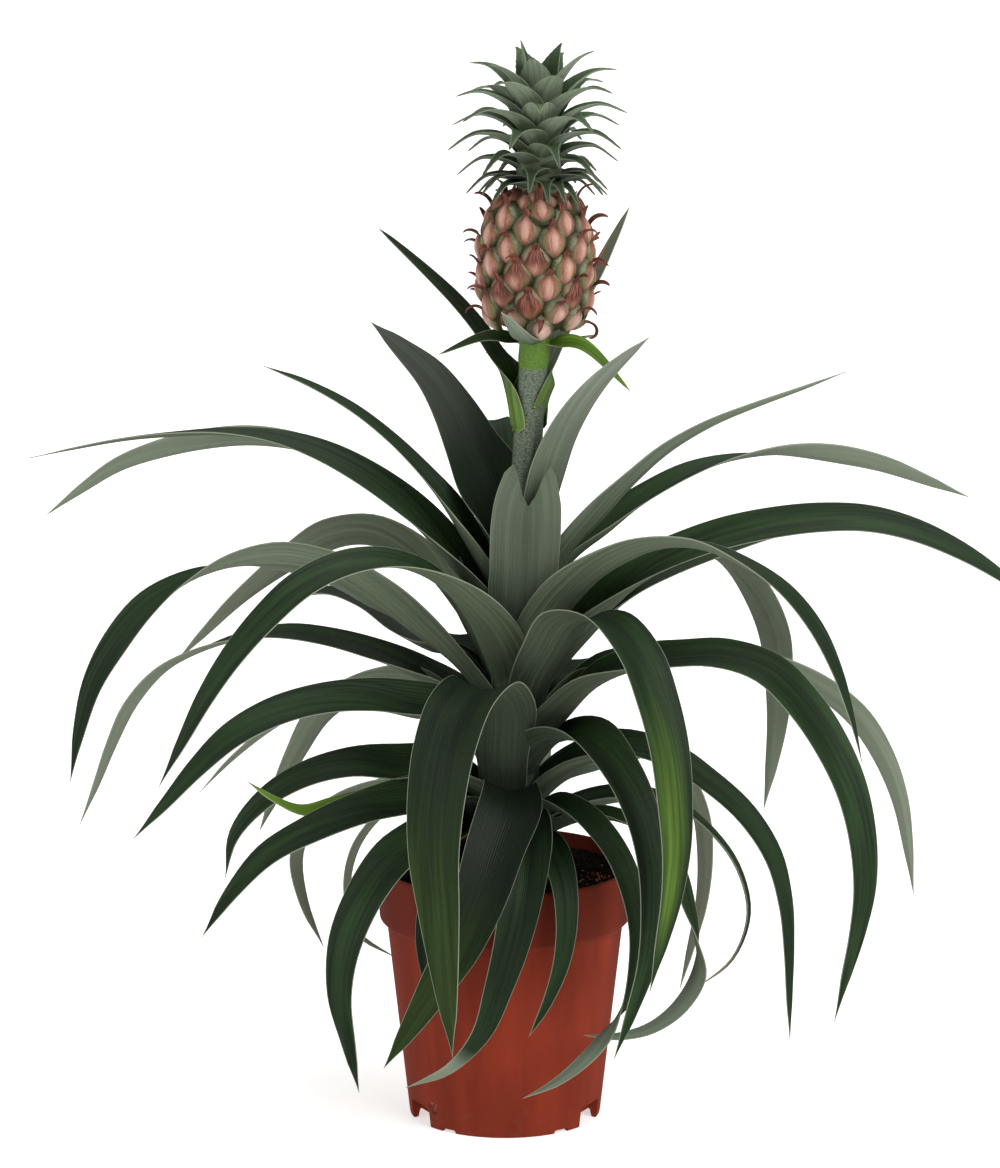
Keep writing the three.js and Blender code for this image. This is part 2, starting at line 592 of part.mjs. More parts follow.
// An eye is a six-sided plate with its foot sunk in the core and a thorn-like beak on top.
function fruitEye(radius, beak) {
  const pitch = 360 / FRUIT.eyeSides;
  const ring = (size, height) => Array.from({ length: FRUIT.eyeSides }, (_, j) => {
    const reach = new THREE.Vector3(size, size * FRUIT.eyeSquash, 0);
    return outward(pitch * (j + FRUIT.eyeTurn)).multiply(reach).setZ(height);
  });
  return toSolid(loft([
    ring(radius, -FRUIT.eyeSunk),
    ring(radius * FRUIT.eyeShoulder, FRUIT.eyeRise / 2),
    ring(FRUIT.beakRadius, FRUIT.eyeRise),
    ring(FRUIT.beakTip, FRUIT.eyeRise + beak),
  ]));
}

function fruit() {
  const random = seededRandom(FRUIT.seed);
  const pieces = [toSolid(lathe(FRUIT.outline, FRUIT.sides))];
  for (let k = 0; k < FRUIT.eyes; k += 1) {
    const share = mix(FRUIT.firstEye, FRUIT.lastEye, (k + 0.5) / FRUIT.eyes);
    const spot = outlinePoint(FRUIT.outline, share);
    const beak = FRUIT.beakLength * mix(...FRUIT.beakScatter, random());
    const size = FRUIT.eyeRadius * mix(FRUIT.endEyeShare, 1, Math.sin(Math.PI * share));
    const normal = new THREE.Vector3(Math.sin(spot.slope), 0, -Math.cos(spot.slope));
    const upward = new THREE.Vector3(Math.cos(spot.slope), 0, Math.sin(spot.slope));
    const sideways = new THREE.Vector3().crossVectors(upward, normal);
    const place = new THREE.Matrix4().makeBasis(sideways, upward, normal)
      .setPosition(new THREE.Vector3(spot.radius, 0, spot.z));
    place.premultiply(new THREE.Matrix4().makeRotationZ(radians(k * GOLDEN_ANGLE)));
    pieces.push(fruitEye(size, beak).transform(place.elements));
  }
  const whole = wasm.Manifold.union(pieces);
  return toGeometry(whole.translate([FRUIT.centre, 0, FRUIT.bottom]));
}

// ---- Crown ---------------------------------------------------------------------
// A slim core inside a tuft of short leaves that bend out, the top ones upright.

// A wave over the crown's height that is 1 at the share given and 0 at its foot.
const peak = (share, top) => Math.sin(Math.PI / 2 * Math.min(2, share / top));

function crownLeaf(share, turn, random) {
  const height = mix(CROWN.lowestLeaf, CROWN.highestLeaf, share ** CROWN.climbEase);
  const core = readTable(CROWN.outline.slice(1), height) - CROWN.leafSunk;
  const scatter = mix(...CROWN.lengthScatter, random());
  const length = scatter * mix(...CROWN.leafLength, peak(share, CROWN.longestLeaf));
  const out = length * mix(1, CROWN.topSpread, share ** CROWN.spreadEase);
  const up = length * mix(-CROWN.lowestDroop, CROWN.topRise, share ** CROWN.riseEase);
  const width = mix(...CROWN.leafWidth, peak(share, CROWN.widestLeaf));
  const radial = outward(turn);
  const side = new THREE.Vector3(-radial.y, radial.x, 0);
  const at = (distance, climb) => radial.clone().multiplyScalar(core + distance).setZ(height + climb);
  const arch = at(out / 2, up / 2 + length * CROWN.leafArch);
  const curve = new THREE.QuadraticBezierCurve3(at(0, 0), arch, at(out, up));
  const rings = CROWN.leafStations.map((part) => {
    const opening = mix(CROWN.leafFoot, 1, Math.min(1, part / CROWN.footShare));
    const half = Math.max(CROWN.leafTip / 2, (width / 2) * opening * (1 - part ** CROWN.leafTaper));
    const hollow = new THREE.Vector3().crossVectors(side, curve.getTangent(part)).normalize();
    const rib = (offset) => curve.getPoint(part).addScaledVector(hollow, offset - half * CROWN.leafHollow);
    return [
      curve.getPoint(part).addScaledVector(side, -half),
      rib(CROWN.leafThickness / 2),
      curve.getPoint(part).addScaledVector(side, half),
      rib(-CROWN.leafThickness / 2),
    ];
  });
  return toSolid(loft(rings));
}

function crown() {
  const random = seededRandom(CROWN.seed);
  const pieces = [toSolid(lathe(CROWN.outline, CROWN.sides))];
  for (let k = 0; k < CROWN.leaves; k += 1) {
    const share = k / (CROWN.leaves - 1);
    pieces.push(crownLeaf(share, CROWN.firstTurn + k * GOLDEN_ANGLE, random));
  }
  const whole = wasm.Manifold.union(pieces);
  return toGeometry(whole.translate([CROWN.centre, 0, CROWN.bottom]));
}

// ---- The plant in its pot -------------------------------------------------------

const plant = new THREE.Group();

function add(name, geometry, material) {
  const mesh = new THREE.Mesh(geometry, material);
  mesh.name = name;
  plant.add(mesh);
}

add('pot', pot(), MATERIALS.pot);
add('soil', soil(), MATERIALS.soil);
add('stem', stem(), MATERIALS.stem);
add('fruit', fruit(), MATERIALS.fruit);
add('crown', crown(), MATERIALS.crown);
for (const leaf of LEAVES) {
  add(leaf.name, blade(leaf), MATERIALS.leaf);
}

export default plant;
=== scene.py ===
"""A young pineapple plant in a round nursery pot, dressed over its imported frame. Metres, +Z up."""
import json
import math
import random

import bmesh
import bpy
from mathutils import Matrix, Vector, noise

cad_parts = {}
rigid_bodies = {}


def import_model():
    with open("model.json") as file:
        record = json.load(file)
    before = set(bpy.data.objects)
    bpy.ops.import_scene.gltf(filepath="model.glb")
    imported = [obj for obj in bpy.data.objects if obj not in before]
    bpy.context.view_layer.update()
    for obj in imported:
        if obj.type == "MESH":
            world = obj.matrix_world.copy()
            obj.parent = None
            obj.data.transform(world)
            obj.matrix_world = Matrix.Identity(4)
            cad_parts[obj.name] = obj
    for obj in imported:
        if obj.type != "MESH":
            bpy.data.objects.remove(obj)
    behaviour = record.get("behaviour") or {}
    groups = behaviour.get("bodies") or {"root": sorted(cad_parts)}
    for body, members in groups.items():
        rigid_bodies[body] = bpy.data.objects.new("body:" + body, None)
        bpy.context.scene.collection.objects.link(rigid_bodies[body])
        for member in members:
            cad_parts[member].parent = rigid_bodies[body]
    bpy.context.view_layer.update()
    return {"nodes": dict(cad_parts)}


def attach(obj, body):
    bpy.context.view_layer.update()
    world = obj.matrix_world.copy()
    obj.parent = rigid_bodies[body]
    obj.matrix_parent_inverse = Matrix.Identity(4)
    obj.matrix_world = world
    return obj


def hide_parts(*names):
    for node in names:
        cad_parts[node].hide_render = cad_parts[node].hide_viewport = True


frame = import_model()


# ---- Studio ---------------------------------------------------------------------------------
# The plant stands on a plain white sheet that fills the picture, between soft white panels.
# The camera is nearly three metres off, a little above the plant, and looks 13 degrees down.

mm = 0.001
scene = bpy.context.scene
camera_place = (-2.35 * mm, -2800 * mm, 902 * mm)
camera_tilt = 77
camera_lens = 190.4
film_width = 36
sheet_corners = [(-12, -8, 0), (12, -8, 0), (12, 22, 0), (-12, 22, 0)]
surround_strength = 0.22

camera = bpy.data.objects.new("camera", bpy.data.cameras.new("camera"))
camera.data.sensor_width = film_width
camera.data.lens = camera_lens
camera.data.clip_end = 60
camera.location = camera_place
camera.rotation_euler = (math.radians(camera_tilt), 0, 0)
scene.collection.objects.link(camera)
scene.camera = camera


def rgb(code):
    """A colour's hexadecimal code as the renderer's linear red, green, blue and alpha."""
    parts = [int(code[i:i + 2], 16) / 255 for i in (0, 2, 4)]
    return (*(p / 12.92 if p <= 0.04045 else ((p + 0.055) / 1.055) ** 2.4 for p in parts), 1.0)


def soft_light(name, side, strength, spread):
    """A wide, far-off lamp. side points from the plant to the lamp, and spread is how wide it looks."""
    lamp = bpy.data.lights.new(name, "SUN")
    lamp.energy = strength
    lamp.angle = math.radians(spread)
    panel = bpy.data.objects.new(name, lamp)
    panel.rotation_euler = (-Vector(side)).to_track_quat("-Z", "Y").to_euler()
    scene.collection.objects.link(panel)


soft_light("right light", (0.7, -0.65, 0.65), 2.15, 45)
soft_light("left light", (-0.9, -0.35, 0.45), 0.82, 50)
soft_light("top light", (0.1, 0.35, 1.0), 1.2, 60)

scene.world = bpy.data.worlds.new("white surround")
scene.world.use_nodes = True
surround = scene.world.node_tree.nodes["Background"]
surround.inputs["Color"].default_value = rgb("ffffff")
surround.inputs["Strength"].default_value = surround_strength
scene.view_settings.view_transform = "Standard"


class Wire:
    """A socket in a node tree. Sums written with wires add Math nodes, and node() adds any other."""

    def __init__(self, tree, socket=None):
        self.tree = tree
        self.socket = socket

    def node(self, kind, settings=None, inputs=None, output=0):
        """Adds a node of a kind, with its settings first and then a value or wire for each input."""
        made = self.tree.nodes.new(kind)
        for name, value in (settings or {}).items():
            setattr(made, name, value)
        for key, value in (inputs or {}).items():
            if isinstance(value, Wire):
                self.tree.links.new(value.socket, made.inputs[key])
            else:
                made.inputs[key].default_value = value
        return Wire(self.tree, made.outputs[output] if made.outputs else None)

    def also(self, output):
        """Another output of the same node."""
        return Wire(self.tree, self.socket.node.outputs[output])

    def math(self, operation, *values):
        return self.node("ShaderNodeMath", {"operation": operation}, dict(enumerate(values)))

    def __add__(self, other):
        return self.math("ADD", self, other)

    def __radd__(self, other):
        return self.math("ADD", other, self)

    def __sub__(self, other):
        return self.math("SUBTRACT", self, other)

    def __rsub__(self, other):
        return self.math("SUBTRACT", other, self)

    def __mul__(self, other):
        return self.math("MULTIPLY", self, other)

    def __rmul__(self, other):
        return self.math("MULTIPLY", other, self)

    def attribute(self, name):
        return self.node("ShaderNodeAttribute", {"attribute_name": name}, output="Fac")

    def ramp(self, low, high):
        """0 below low and 1 above high, eased between them. It falls where low is above high."""
        span = {"Value": self, "From Min": low, "From Max": high}
        return self.node("ShaderNodeMapRange", {"interpolation_type": "SMOOTHSTEP"}, span)

    def paint(self, colour, under):
        """The colour where this wire is 1, over the one underneath. Each is a code or a wire."""
        under, colour = (rgb(tone) if isinstance(tone, str) else tone for tone in (under, colour))
        layers = {0: self, 6: under, 7: colour}
        return self.node("ShaderNodeMix", {"data_type": "RGBA"}, layers, output=2)

    def place(self):
        """Where a point lies in the plant, in metres."""
        return self.node("ShaderNodeTexCoord", output="Object")

    def vector(self, *parts):
        return self.node("ShaderNodeCombineXYZ", inputs=dict(enumerate(parts)))

    def bump(self, height, strength, depth):
        """The tilt of a surface with this relief, depth metres deep."""
        relief = {"Height": height, "Strength": strength, "Distance": depth}
        return self.node("ShaderNodeBump", inputs=relief)

    def grain(self, where, scale, detail=3.0, roughness=0.5):
        """Cloudy noise from 0 to 1."""
        cloud = {"Vector": where, "Scale": scale, "Detail": detail, "Roughness": roughness}
        return self.node("ShaderNodeTexNoise", inputs=cloud)


def finish(name, surface):
    """A material. surface takes a bare wire and returns the inputs of its one shader."""
    material = bpy.data.materials.new(name)
    material.use_nodes = True
    material.node_tree.nodes.clear()
    wire = Wire(material.node_tree)
    shader = wire.node("ShaderNodeBsdfPrincipled", inputs=surface(wire))
    wire.node("ShaderNodeOutputMaterial", inputs={"Surface": shader})
    return material


def white_sheet(wire):
    return {"Base Color": rgb("e8e8e6"), "Roughness": 1.0, "Emission Color": rgb("ffffff"),
            "Emission Strength": 0.6}


def placed(name, mesh, material=None):
    """Puts a mesh in the scene as an object."""
    piece = bpy.data.objects.new(name, mesh)
    scene.collection.objects.link(piece)
    if material:
        mesh.materials.append(material)
    return piece


sheet = bpy.data.meshes.new("white_sheet")
sheet.from_pydata(sheet_corners, [], [(0, 1, 2, 3)])
backdrop = placed("white_sheet", sheet, finish("white sheet", white_sheet))
backdrop.visible_glossy = False


# ---- Pot ------------------------------------------------------------------------------------
# A 12 cm nursery pot, moulded in one piece in terracotta-coloured plastic. A deep band stiffens
# its rim, and three notches and shallow reliefs in the foot let water out.

pot_height = 122 * mm
pot_shoulder = 93 * mm
pot_base_radius = 45 * mm
pot_wall_top = 55.5 * mm
pot_rim_radius = 60 * mm
pot_wall = 1.6 * mm
pot_floor = 6 * mm
pot_floor_lift = 4 * mm
pot_pad_radius = 20 * mm
pot_corner = 0.7 * mm
pot_sides = 160
pot_scuff = (-34 * mm, -31 * mm, 9 * mm)
notch_turns = (90, 208, 332)
notch_span = 22.4
notch_height = 10 * mm
notch_corner = 2.2 * mm
relief_offset = 26
relief_span = 10
relief_height = 1.7 * mm


def pot_wall_radius(height):
    """Outer radius of the pot's sloping wall, under its band."""
    return pot_base_radius + (pot_wall_top - pot_base_radius) * height / pot_shoulder


def eased_corners(outline, radius, steps=3):
    """The outline with each inner corner turned on a small curve."""
    points = [Vector(p) for p in outline]
    eased = [points[0]]
    for before, corner, after in zip(points, points[1:], points[2:]):
        back = before - corner
        ahead = after - corner
        start = corner + back.normalized() * min(radius, back.length * 0.4)
        end = corner + ahead.normalized() * min(radius, ahead.length * 0.4)
        for step in range(steps + 1):
            t = step / steps
            eased.append(start * (1 - t) ** 2 + corner * 2 * t * (1 - t) + end * t * t)
    return [*eased, points[-1]]


def join_rings(form, rows):
    """Joins each ring of points to the next with faces. A ring of one point closes an end."""
    for low, high in zip(rows, rows[1:]):
        sides = max(len(low), len(high))
        for k in range(sides):
            after = (k + 1) % sides
            below = [low[k % len(low)], low[after % len(low)]]
            above = [high[after % len(high)], high[k % len(high)]]
            form.faces.new(list(dict.fromkeys(below + above)))


def smooth(mesh, sharp_angle):
    """Shades a mesh smoothly, but for the edges that are sharper than the angle in degrees."""
    mesh.polygons.foreach_set("use_smooth", [True] * len(mesh.polygons))
    mesh.set_sharp_from_angle(angle=math.radians(sharp_angle))


def meshed(name, form, sharp_angle=None):
    """Turns an edited form into a mesh, and frees the form."""
    mesh = bpy.data.meshes.new(name)
    form.to_mesh(mesh)
    form.free()
    if sharp_angle:
        smooth(mesh, sharp_angle)
    return mesh


def turned(name, outline, sides, centre=(0, 0, 0)):
    """A closed shape turned about an upright line. Its outline of radius and height starts and
    ends on that line, and runs up the outside."""
    form = bmesh.new()
    rows = []
    for radius, height in outline:
        count = 1 if radius == 0 else sides
        rows.append([form.verts.new((
            centre[0] + radius * math.cos(math.tau * k / sides),
            centre[1] + radius * math.sin(math.tau * k / sides),
            centre[2] + height)) for k in range(count)])
    join_rings(form, rows)
    return meshed(name, form, sharp_angle=40)


pot_outline = eased_corners([
    (0, 0), (pot_pad_radius, 0), (23 * mm, pot_floor_lift), (41.5 * mm, pot_floor_lift), (42.5 * mm, 0),
    (pot_base_radius, 0), (pot_wall_radius(12 * mm), 12 * mm),
    (pot_wall_top, pot_shoulder), (56 * mm, pot_shoulder),
    (59 * mm, pot_shoulder + 3 * mm), (pot_rim_radius, pot_height - 1.2 * mm), (59.6 * mm, pot_height),
    (58.4 * mm, pot_height), (57.4 * mm, pot_shoulder + 4 * mm),
    (pot_wall_top - pot_wall, pot_shoulder + 0.5 * mm),
    (pot_wall_radius(8 * mm) - pot_wall, 8 * mm), (40.9 * mm, pot_floor),
    (pot_pad_radius, pot_floor), (17 * mm, 2 * mm), (0, 2 * mm),
], pot_corner)


def foot_cutter(turn, span, height):
    """A round-cornered block that takes a notch out of the pot's foot."""
    width = 2 * pot_base_radius * math.sin(math.radians(span / 2))
    block = bmesh.new()
    bmesh.ops.create_cube(block, size=1)
    bmesh.ops.scale(block, vec=(10 * mm, width, height * 2), verts=block.verts)
    along = [edge for edge in block.edges if abs(edge.verts[0].co.x - edge.verts[1].co.x) > 5 * mm]
    bmesh.ops.bevel(block, geom=along, offset=min(notch_corner, height * 0.6), segments=4, profile=0.5,
                    affect="EDGES")
    bmesh.ops.translate(block, vec=(pot_base_radius, 0, 0), verts=block.verts)
    bmesh.ops.rotate(block, matrix=Matrix.Rotation(math.radians(turn), 3, "Z"), verts=block.verts)
    return placed("cutter", meshed("cutter", block))


def settled(piece):
    """Turns a piece and its modifiers into a plain mesh."""
    graph = bpy.context.evaluated_depsgraph_get()
    graph.update()
    mesh = bpy.data.meshes.new_from_object(piece.evaluated_get(graph), depsgraph=graph)
    piece.modifiers.clear()
    piece.data = mesh
    return mesh


def terracotta_plastic(wire):
    """Moulded plastic with slow streaks of its flow, dust at the foot, a scuff low on one side, and
    painted shade of the leaves on the rim band.
    """
    where = wire.place()
    height = wire.node("ShaderNodeSeparateXYZ", inputs={0: where}, output="Z")
    streaks = wire.node("ShaderNodeMapping", inputs={"Vector": where, "Scale": (60, 60, 9)})
    flow = wire.grain(streaks, 1.0, 4).ramp(0.3, 0.75)
    cloud = wire.grain(where, 14, 2).ramp(0.35, 0.7)
    colour = flow.paint("93331a", "762612")
    colour = (cloud * 0.5).paint("6c2210", colour)
    dust = wire.grain(where, 170, 5, 0.7).ramp(0.52, 0.72) * height.ramp(30 * mm, 0)
    colour = (dust * 0.7).paint("6b3f2c", colour)
    rim = wire.grain(where, 240, 3, 0.6).ramp(0.62, 0.7) * height.ramp(118.5 * mm, 121.5 * mm)
    colour = (rim * 0.6).paint("b87a62", colour)
    # Painted shade: the rim band, which the leaves hang over, is darkened from 90 mm up.
    colour = (height.ramp(90 * mm, 100 * mm) * 0.45).paint("4c1609", colour)
    away = wire.node("ShaderNodeVectorMath", {"operation": "DISTANCE"}, {0: where, 1: pot_scuff}, "Value")
    scuff = away.ramp(6 * mm, 2 * mm)
    flecks = wire.grain(where, 500, 4, 0.7)
    colour = (scuff * flecks.ramp(0.45, 0.6)).paint("4a2a20", colour)
    colour = (scuff * flecks.ramp(0.42, 0.34)).paint("b98a70", colour)
    scratch = wire.grain(streaks, 3.2, 6, 0.65)
    pores = wire.grain(where, 900, 2)
    return {
        "Base Color": colour,
        "Roughness": 0.45 + flow * 0.12 + dust * 0.3,
        "Specular IOR Level": 0.15,
        "Normal": wire.bump(scratch * 0.6 + pores * 0.4, 0.12, 0.4 * mm),
    }


def belongs(piece, slot, *nodes):
    """Puts a piece on the root body and hides the CAD nodes that it stands for. slot is not used."""
    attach(piece, "root")
    if nodes:
        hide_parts(*nodes)


pot = placed("nursery_pot", turned("nursery_pot", pot_outline, pot_sides),
             finish("terracotta plastic", terracotta_plastic))
cutters = []
for notch_turn in notch_turns:
    cutters.append(foot_cutter(notch_turn, notch_span, notch_height))
    cutters.append(foot_cutter(notch_turn - relief_offset, relief_span, relief_height))
    cutters.append(foot_cutter(notch_turn + relief_offset, relief_span, relief_height))
for cutter in cutters:
    cut = pot.modifiers.new("notch", "BOOLEAN")
    cut.object = cutter
    cut.solver = "EXACT"
smooth(settled(pot), sharp_angle=35)
for cutter in cutters:
    bpy.data.objects.remove(cutter)
belongs(pot, "pot", "pot")


# ---- Soil -----------------------------------------------------------------------------------
# Dark peat that fills the pot to just under its rim. Its top is crumbly and mounded a little
# towards the stem, with pale specks of wood and perlite, and some reddish chips of bark by the rim.

soil_top = 115 * mm
soil_mound = 2.5 * mm
soil_radius = 57 * mm
soil_hole = 14.6 * mm
soil_hole_floor = 100.6 * mm
soil_wall = [(0, 6.4 * mm), (40.5 * mm, 6.4 * mm), (43.5 * mm, 10.4 * mm), (53.4 * mm, 93.5 * mm),
             (56 * mm, 99 * mm)]
soil_lumps = [(90, 1.0), (260, 0.7), (620, 0.35)]
soil_sides = 200
soil_rings = 44
bark_patch = Vector((46 * mm, -14 * mm))
bark_reach = 13 * mm


def soil_height(radius, turn):
    """Height of the crumbly top, which rises from the pot's wall to the stem."""
    share = (soil_radius - radius) / (soil_radius - soil_hole)
    spot = Vector((radius * math.cos(turn), radius * math.sin(turn), 0))
    lumps = sum(noise.noise(spot * scale) * size for scale, size in soil_lumps)
    return soil_top + soil_mound * math.sin(share * math.pi / 2) + lumps * mm


def soil_mesh(top_only):
    """The whole soil as a closed body, or only its top, to strew lumps on."""
    form = bmesh.new()

    def ring(radius, height=None):
        spots = []
        for k in range(1 if radius == 0 else soil_sides):
            turn = math.tau * k / soil_sides
            level = soil_height(radius, turn) if height is None else height
            spots.append(form.verts.new((radius * math.cos(turn), radius * math.sin(turn), level)))
        return spots

    rows = [ring(soil_radius + (soil_hole - soil_radius) * k / soil_rings) for k in range(soil_rings + 1)]
    if not top_only:
        hole = [(soil_hole, soil_hole_floor), (0, soil_hole_floor)]
        rows = [ring(*spot) for spot in soil_wall] + rows + [ring(*spot) for spot in hole]
    join_rings(form, rows)
    return meshed("peat", form, sharp_angle=50)


def peat(wire):
    where = wire.place()
    clods = wire.grain(where, 420, 6, 0.7)
    return {
        "Base Color": clods.ramp(0.4, 0.7).paint("1f1710", "080605"),
        "Roughness": 0.95,
        "Specular IOR Level": 0.1,
        "Normal": wire.bump(clods, 0.8, 1 * mm),
    }


def pale_speck(wire):
    grain = wire.grain(wire.place(), 300, 3)
    return {"Base Color": grain.ramp(0.4, 0.65).paint("b9a27e", "7a5b3a"), "Roughness": 0.85}


def reddish_chip(wire):
    grain = wire.grain(wire.place(), 400, 3)
    return {"Base Color": grain.ramp(0.4, 0.6).paint("a5583a", "3d1a10"), "Roughness": 0.8}


def geometry_tree(name, inputs, grow):
    """A geometry tree with named inputs, each given with its kind. grow takes the first input and
    returns the shapes. The tree makes them real and gives them their material."""
    tree = bpy.data.node_groups.new(name, "GeometryNodeTree")
    identifiers = {}
    for label, kind in inputs.items():
        socket = tree.interface.new_socket(label, in_out="INPUT", socket_type="NodeSocket" + kind)
        identifiers[label] = socket.identifier
    tree.interface.new_socket("Whole", in_out="OUTPUT", socket_type="NodeSocketGeometry")
    given = Wire(tree).node("NodeGroupInput")
    whole = given.node("GeometryNodeRealizeInstances", inputs={"Geometry": grow(given)})
    coated = given.node("GeometryNodeSetMaterial", inputs={
        "Geometry": whole, "Material": given.also("Material")})
    given.node("NodeGroupOutput", inputs={0: coated})
    return tree, identifiers


def strewn_lumps(given):
    """A turned and sized copy of the lump on each of many spots of the surface."""
    seed = given.also("Seed")
    spots = given.node("GeometryNodeDistributePointsOnFaces", inputs={
        "Mesh": given, "Density": given.also("Density"), "Seed": seed})
    lump = given.node("GeometryNodeObjectInfo", inputs={"Object": given.also("Lump")}, output="Geometry")
    turn = given.node("FunctionNodeRandomValue", {"data_type": "FLOAT_VECTOR"}, {
        0: (0, 0, 0), 1: (math.tau, math.tau, math.tau), "Seed": seed})
    size = given.node("FunctionNodeRandomValue", {"data_type": "FLOAT"}, {
        2: given.also("Smallest"), 3: given.also("Largest"), "Seed": seed}, output=1)
    return given.node("GeometryNodeInstanceOnPoints", inputs={
        "Points": spots, "Instance": lump, "Rotation": turn, "Scale": size})


def grown(piece, tree, identifiers, values):
    """Runs a geometry tree on a piece, and keeps the plain mesh that comes out."""
    maker = piece.modifiers.new("maker", "NODES")
    maker.node_group = tree
    for label, value in values.items():
        maker[identifiers[label]] = value
    return settled(piece)


def lump_object(name, seed):
    """A small uneven lump of radius 1."""
    form = bmesh.new()
    bmesh.ops.create_icosphere(form, subdivisions=1, radius=1)
    for vertex in form.verts:
        vertex.co *= 1 + 0.55 * noise.noise(vertex.co * 1.3 + Vector((seed, 0, 0)))
        vertex.co.z *= 0.7
    return placed(name, meshed(name, form))


def bark_ground():
    """The part of the soil's top that carries the chips of bark."""
    ground = bmesh.new()
    ground.from_mesh(soil_mesh(top_only=True))
    spare = [spot for spot in ground.verts if (spot.co.xy - bark_patch).length > bark_reach]
    bmesh.ops.delete(ground, geom=spare, context="VERTS")
    return meshed("bark", ground)


soil_finish = finish("peat", peat)
belongs(placed("potting_soil", soil_mesh(top_only=False), soil_finish), "soil", "soil")
scatter, scatter_inputs = geometry_tree("strewn crumbs", {
    "Surface": "Geometry", "Lump": "Object", "Density": "Float", "Seed": "Int", "Smallest": "Float",
    "Largest": "Float", "Material": "Material"}, strewn_lumps)
lump = lump_object("lump", seed=3)
for label, ground, density, seed, smallest, largest, coat in (
        ("soil_crumbs", soil_mesh(top_only=True), 120000, 5, 0.4 * mm, 1.3 * mm, soil_finish),
        ("soil_specks", soil_mesh(top_only=True), 6000, 9, 0.3 * mm, 0.8 * mm,
         finish("perlite and wood specks", pale_speck)),
        ("bark_chips", bark_ground(), 250000, 4, 0.2 * mm, 0.8 * mm, finish("bark chips", reddish_chip))):
    strewn = placed(label, ground)
    grown(strewn, scatter, scatter_inputs, {
        "Lump": lump, "Density": density, "Seed": seed, "Smallest": smallest, "Largest": largest,
        "Material": coat})
    belongs(strewn, "soil")
bpy.data.objects.remove(lump)


# ---- Leaf blades ----------------------------------------------------------------------------
# Long strap leaves, hollow on the upper side and stiffened by many fine veins. The upper side is
# dark and waxy, the underside pale with a grey bloom, and a thin colourless line edges both.

blade_columns = [-1, -0.985, -0.9, -0.72, -0.5, -0.25, 0, 0.25, 0.5, 0.72, 0.9, 0.985, 1]
leaf_rib = 1.1 * mm
leaf_edge = 0.5 * mm
leaf_wave = 0.5 * mm
leaf_point = 0.06
heart_notch = 17 * mm
sheath_length = 30 * mm
sheath_end = 110 * mm
clasp_drop = 5 * mm
hugged_rings = 4
widest_opening = 1.5
sheath_steps = (0.35, 0.7, 1.0)
clasp_steps = (0.85, 1.0, 0.65)
weld_distance = 0.02 * mm
least_tip = 0.03
hollow_power = 1.45
wrap_from = 0.85
wrap_whole = 1.2
ripples = 22
stiff_half_width = 8 * mm
lobe_crest = 0.75


def smoothly(points, rows):
    """Points on a smooth curve through the given ones, rows of them to each gap."""
    line = [2 * points[0] - points[1], *points, 2 * points[-1] - points[-2]]
    result = []
    for a, b, c, d in zip(line, line[1:], line[2:], line[3:]):
        for row in range(rows):
            t = row / rows
            result.append(0.5 * (2 * b + (c - a) * t + (2 * a - 5 * b + 4 * c - d) * t * t
                                 + (3 * b - a - 3 * c + d) * t * t * t))
    return [*result, points[-1].copy()]


def ease(value, low, high):
    """0 at low and 1 at high, eased between them."""
    t = min(1.0, max(0.0, (value - low) / (high - low)))
    return t * t * (3 - 2 * t)


def store(mesh, label, numbers, kind="FLOAT"):
    """Keeps a number for each point of a mesh, under a label that its material or tree reads."""
    kept = mesh.attributes.get(label) or mesh.attributes.new(label, kind, "POINT")
    kept.data.foreach_set("vector" if kind == "FLOAT_VECTOR" else "value", numbers)


def shell_faces(start, rows, width, over=False):
    """The faces of a closed shell, from its corner number start. Each of its rows has width corners
    on one side and then as many on the other. over turns the shell inside out."""
    faces = []
    for here in range(start, start + (rows - 1) * 2 * width, 2 * width):
        there = here + 2 * width
        band = []
        for j in range(width - 1):
            low, far = here + width + j, there + width + j
            band.append((here + j, there + j, there + j + 1, here + j + 1))
            band.append((low, low + 1, far + 1, far))
        for j, k in ((0, width), (2 * width - 1, width - 1)):
            band.append((here + j, here + k, there + k, there + j))
        faces += [(face[0], *face[:0:-1]) for face in band] if over else band
    for end, flip in ((start, 1), (start + (rows - 1) * 2 * width, -1)):
        for j in range(width - 1):
            cap = (end + j, end + j + 1, end + width + j + 1, end + width + j)
            faces.append(cap[::-flip if over else flip])
    return faces


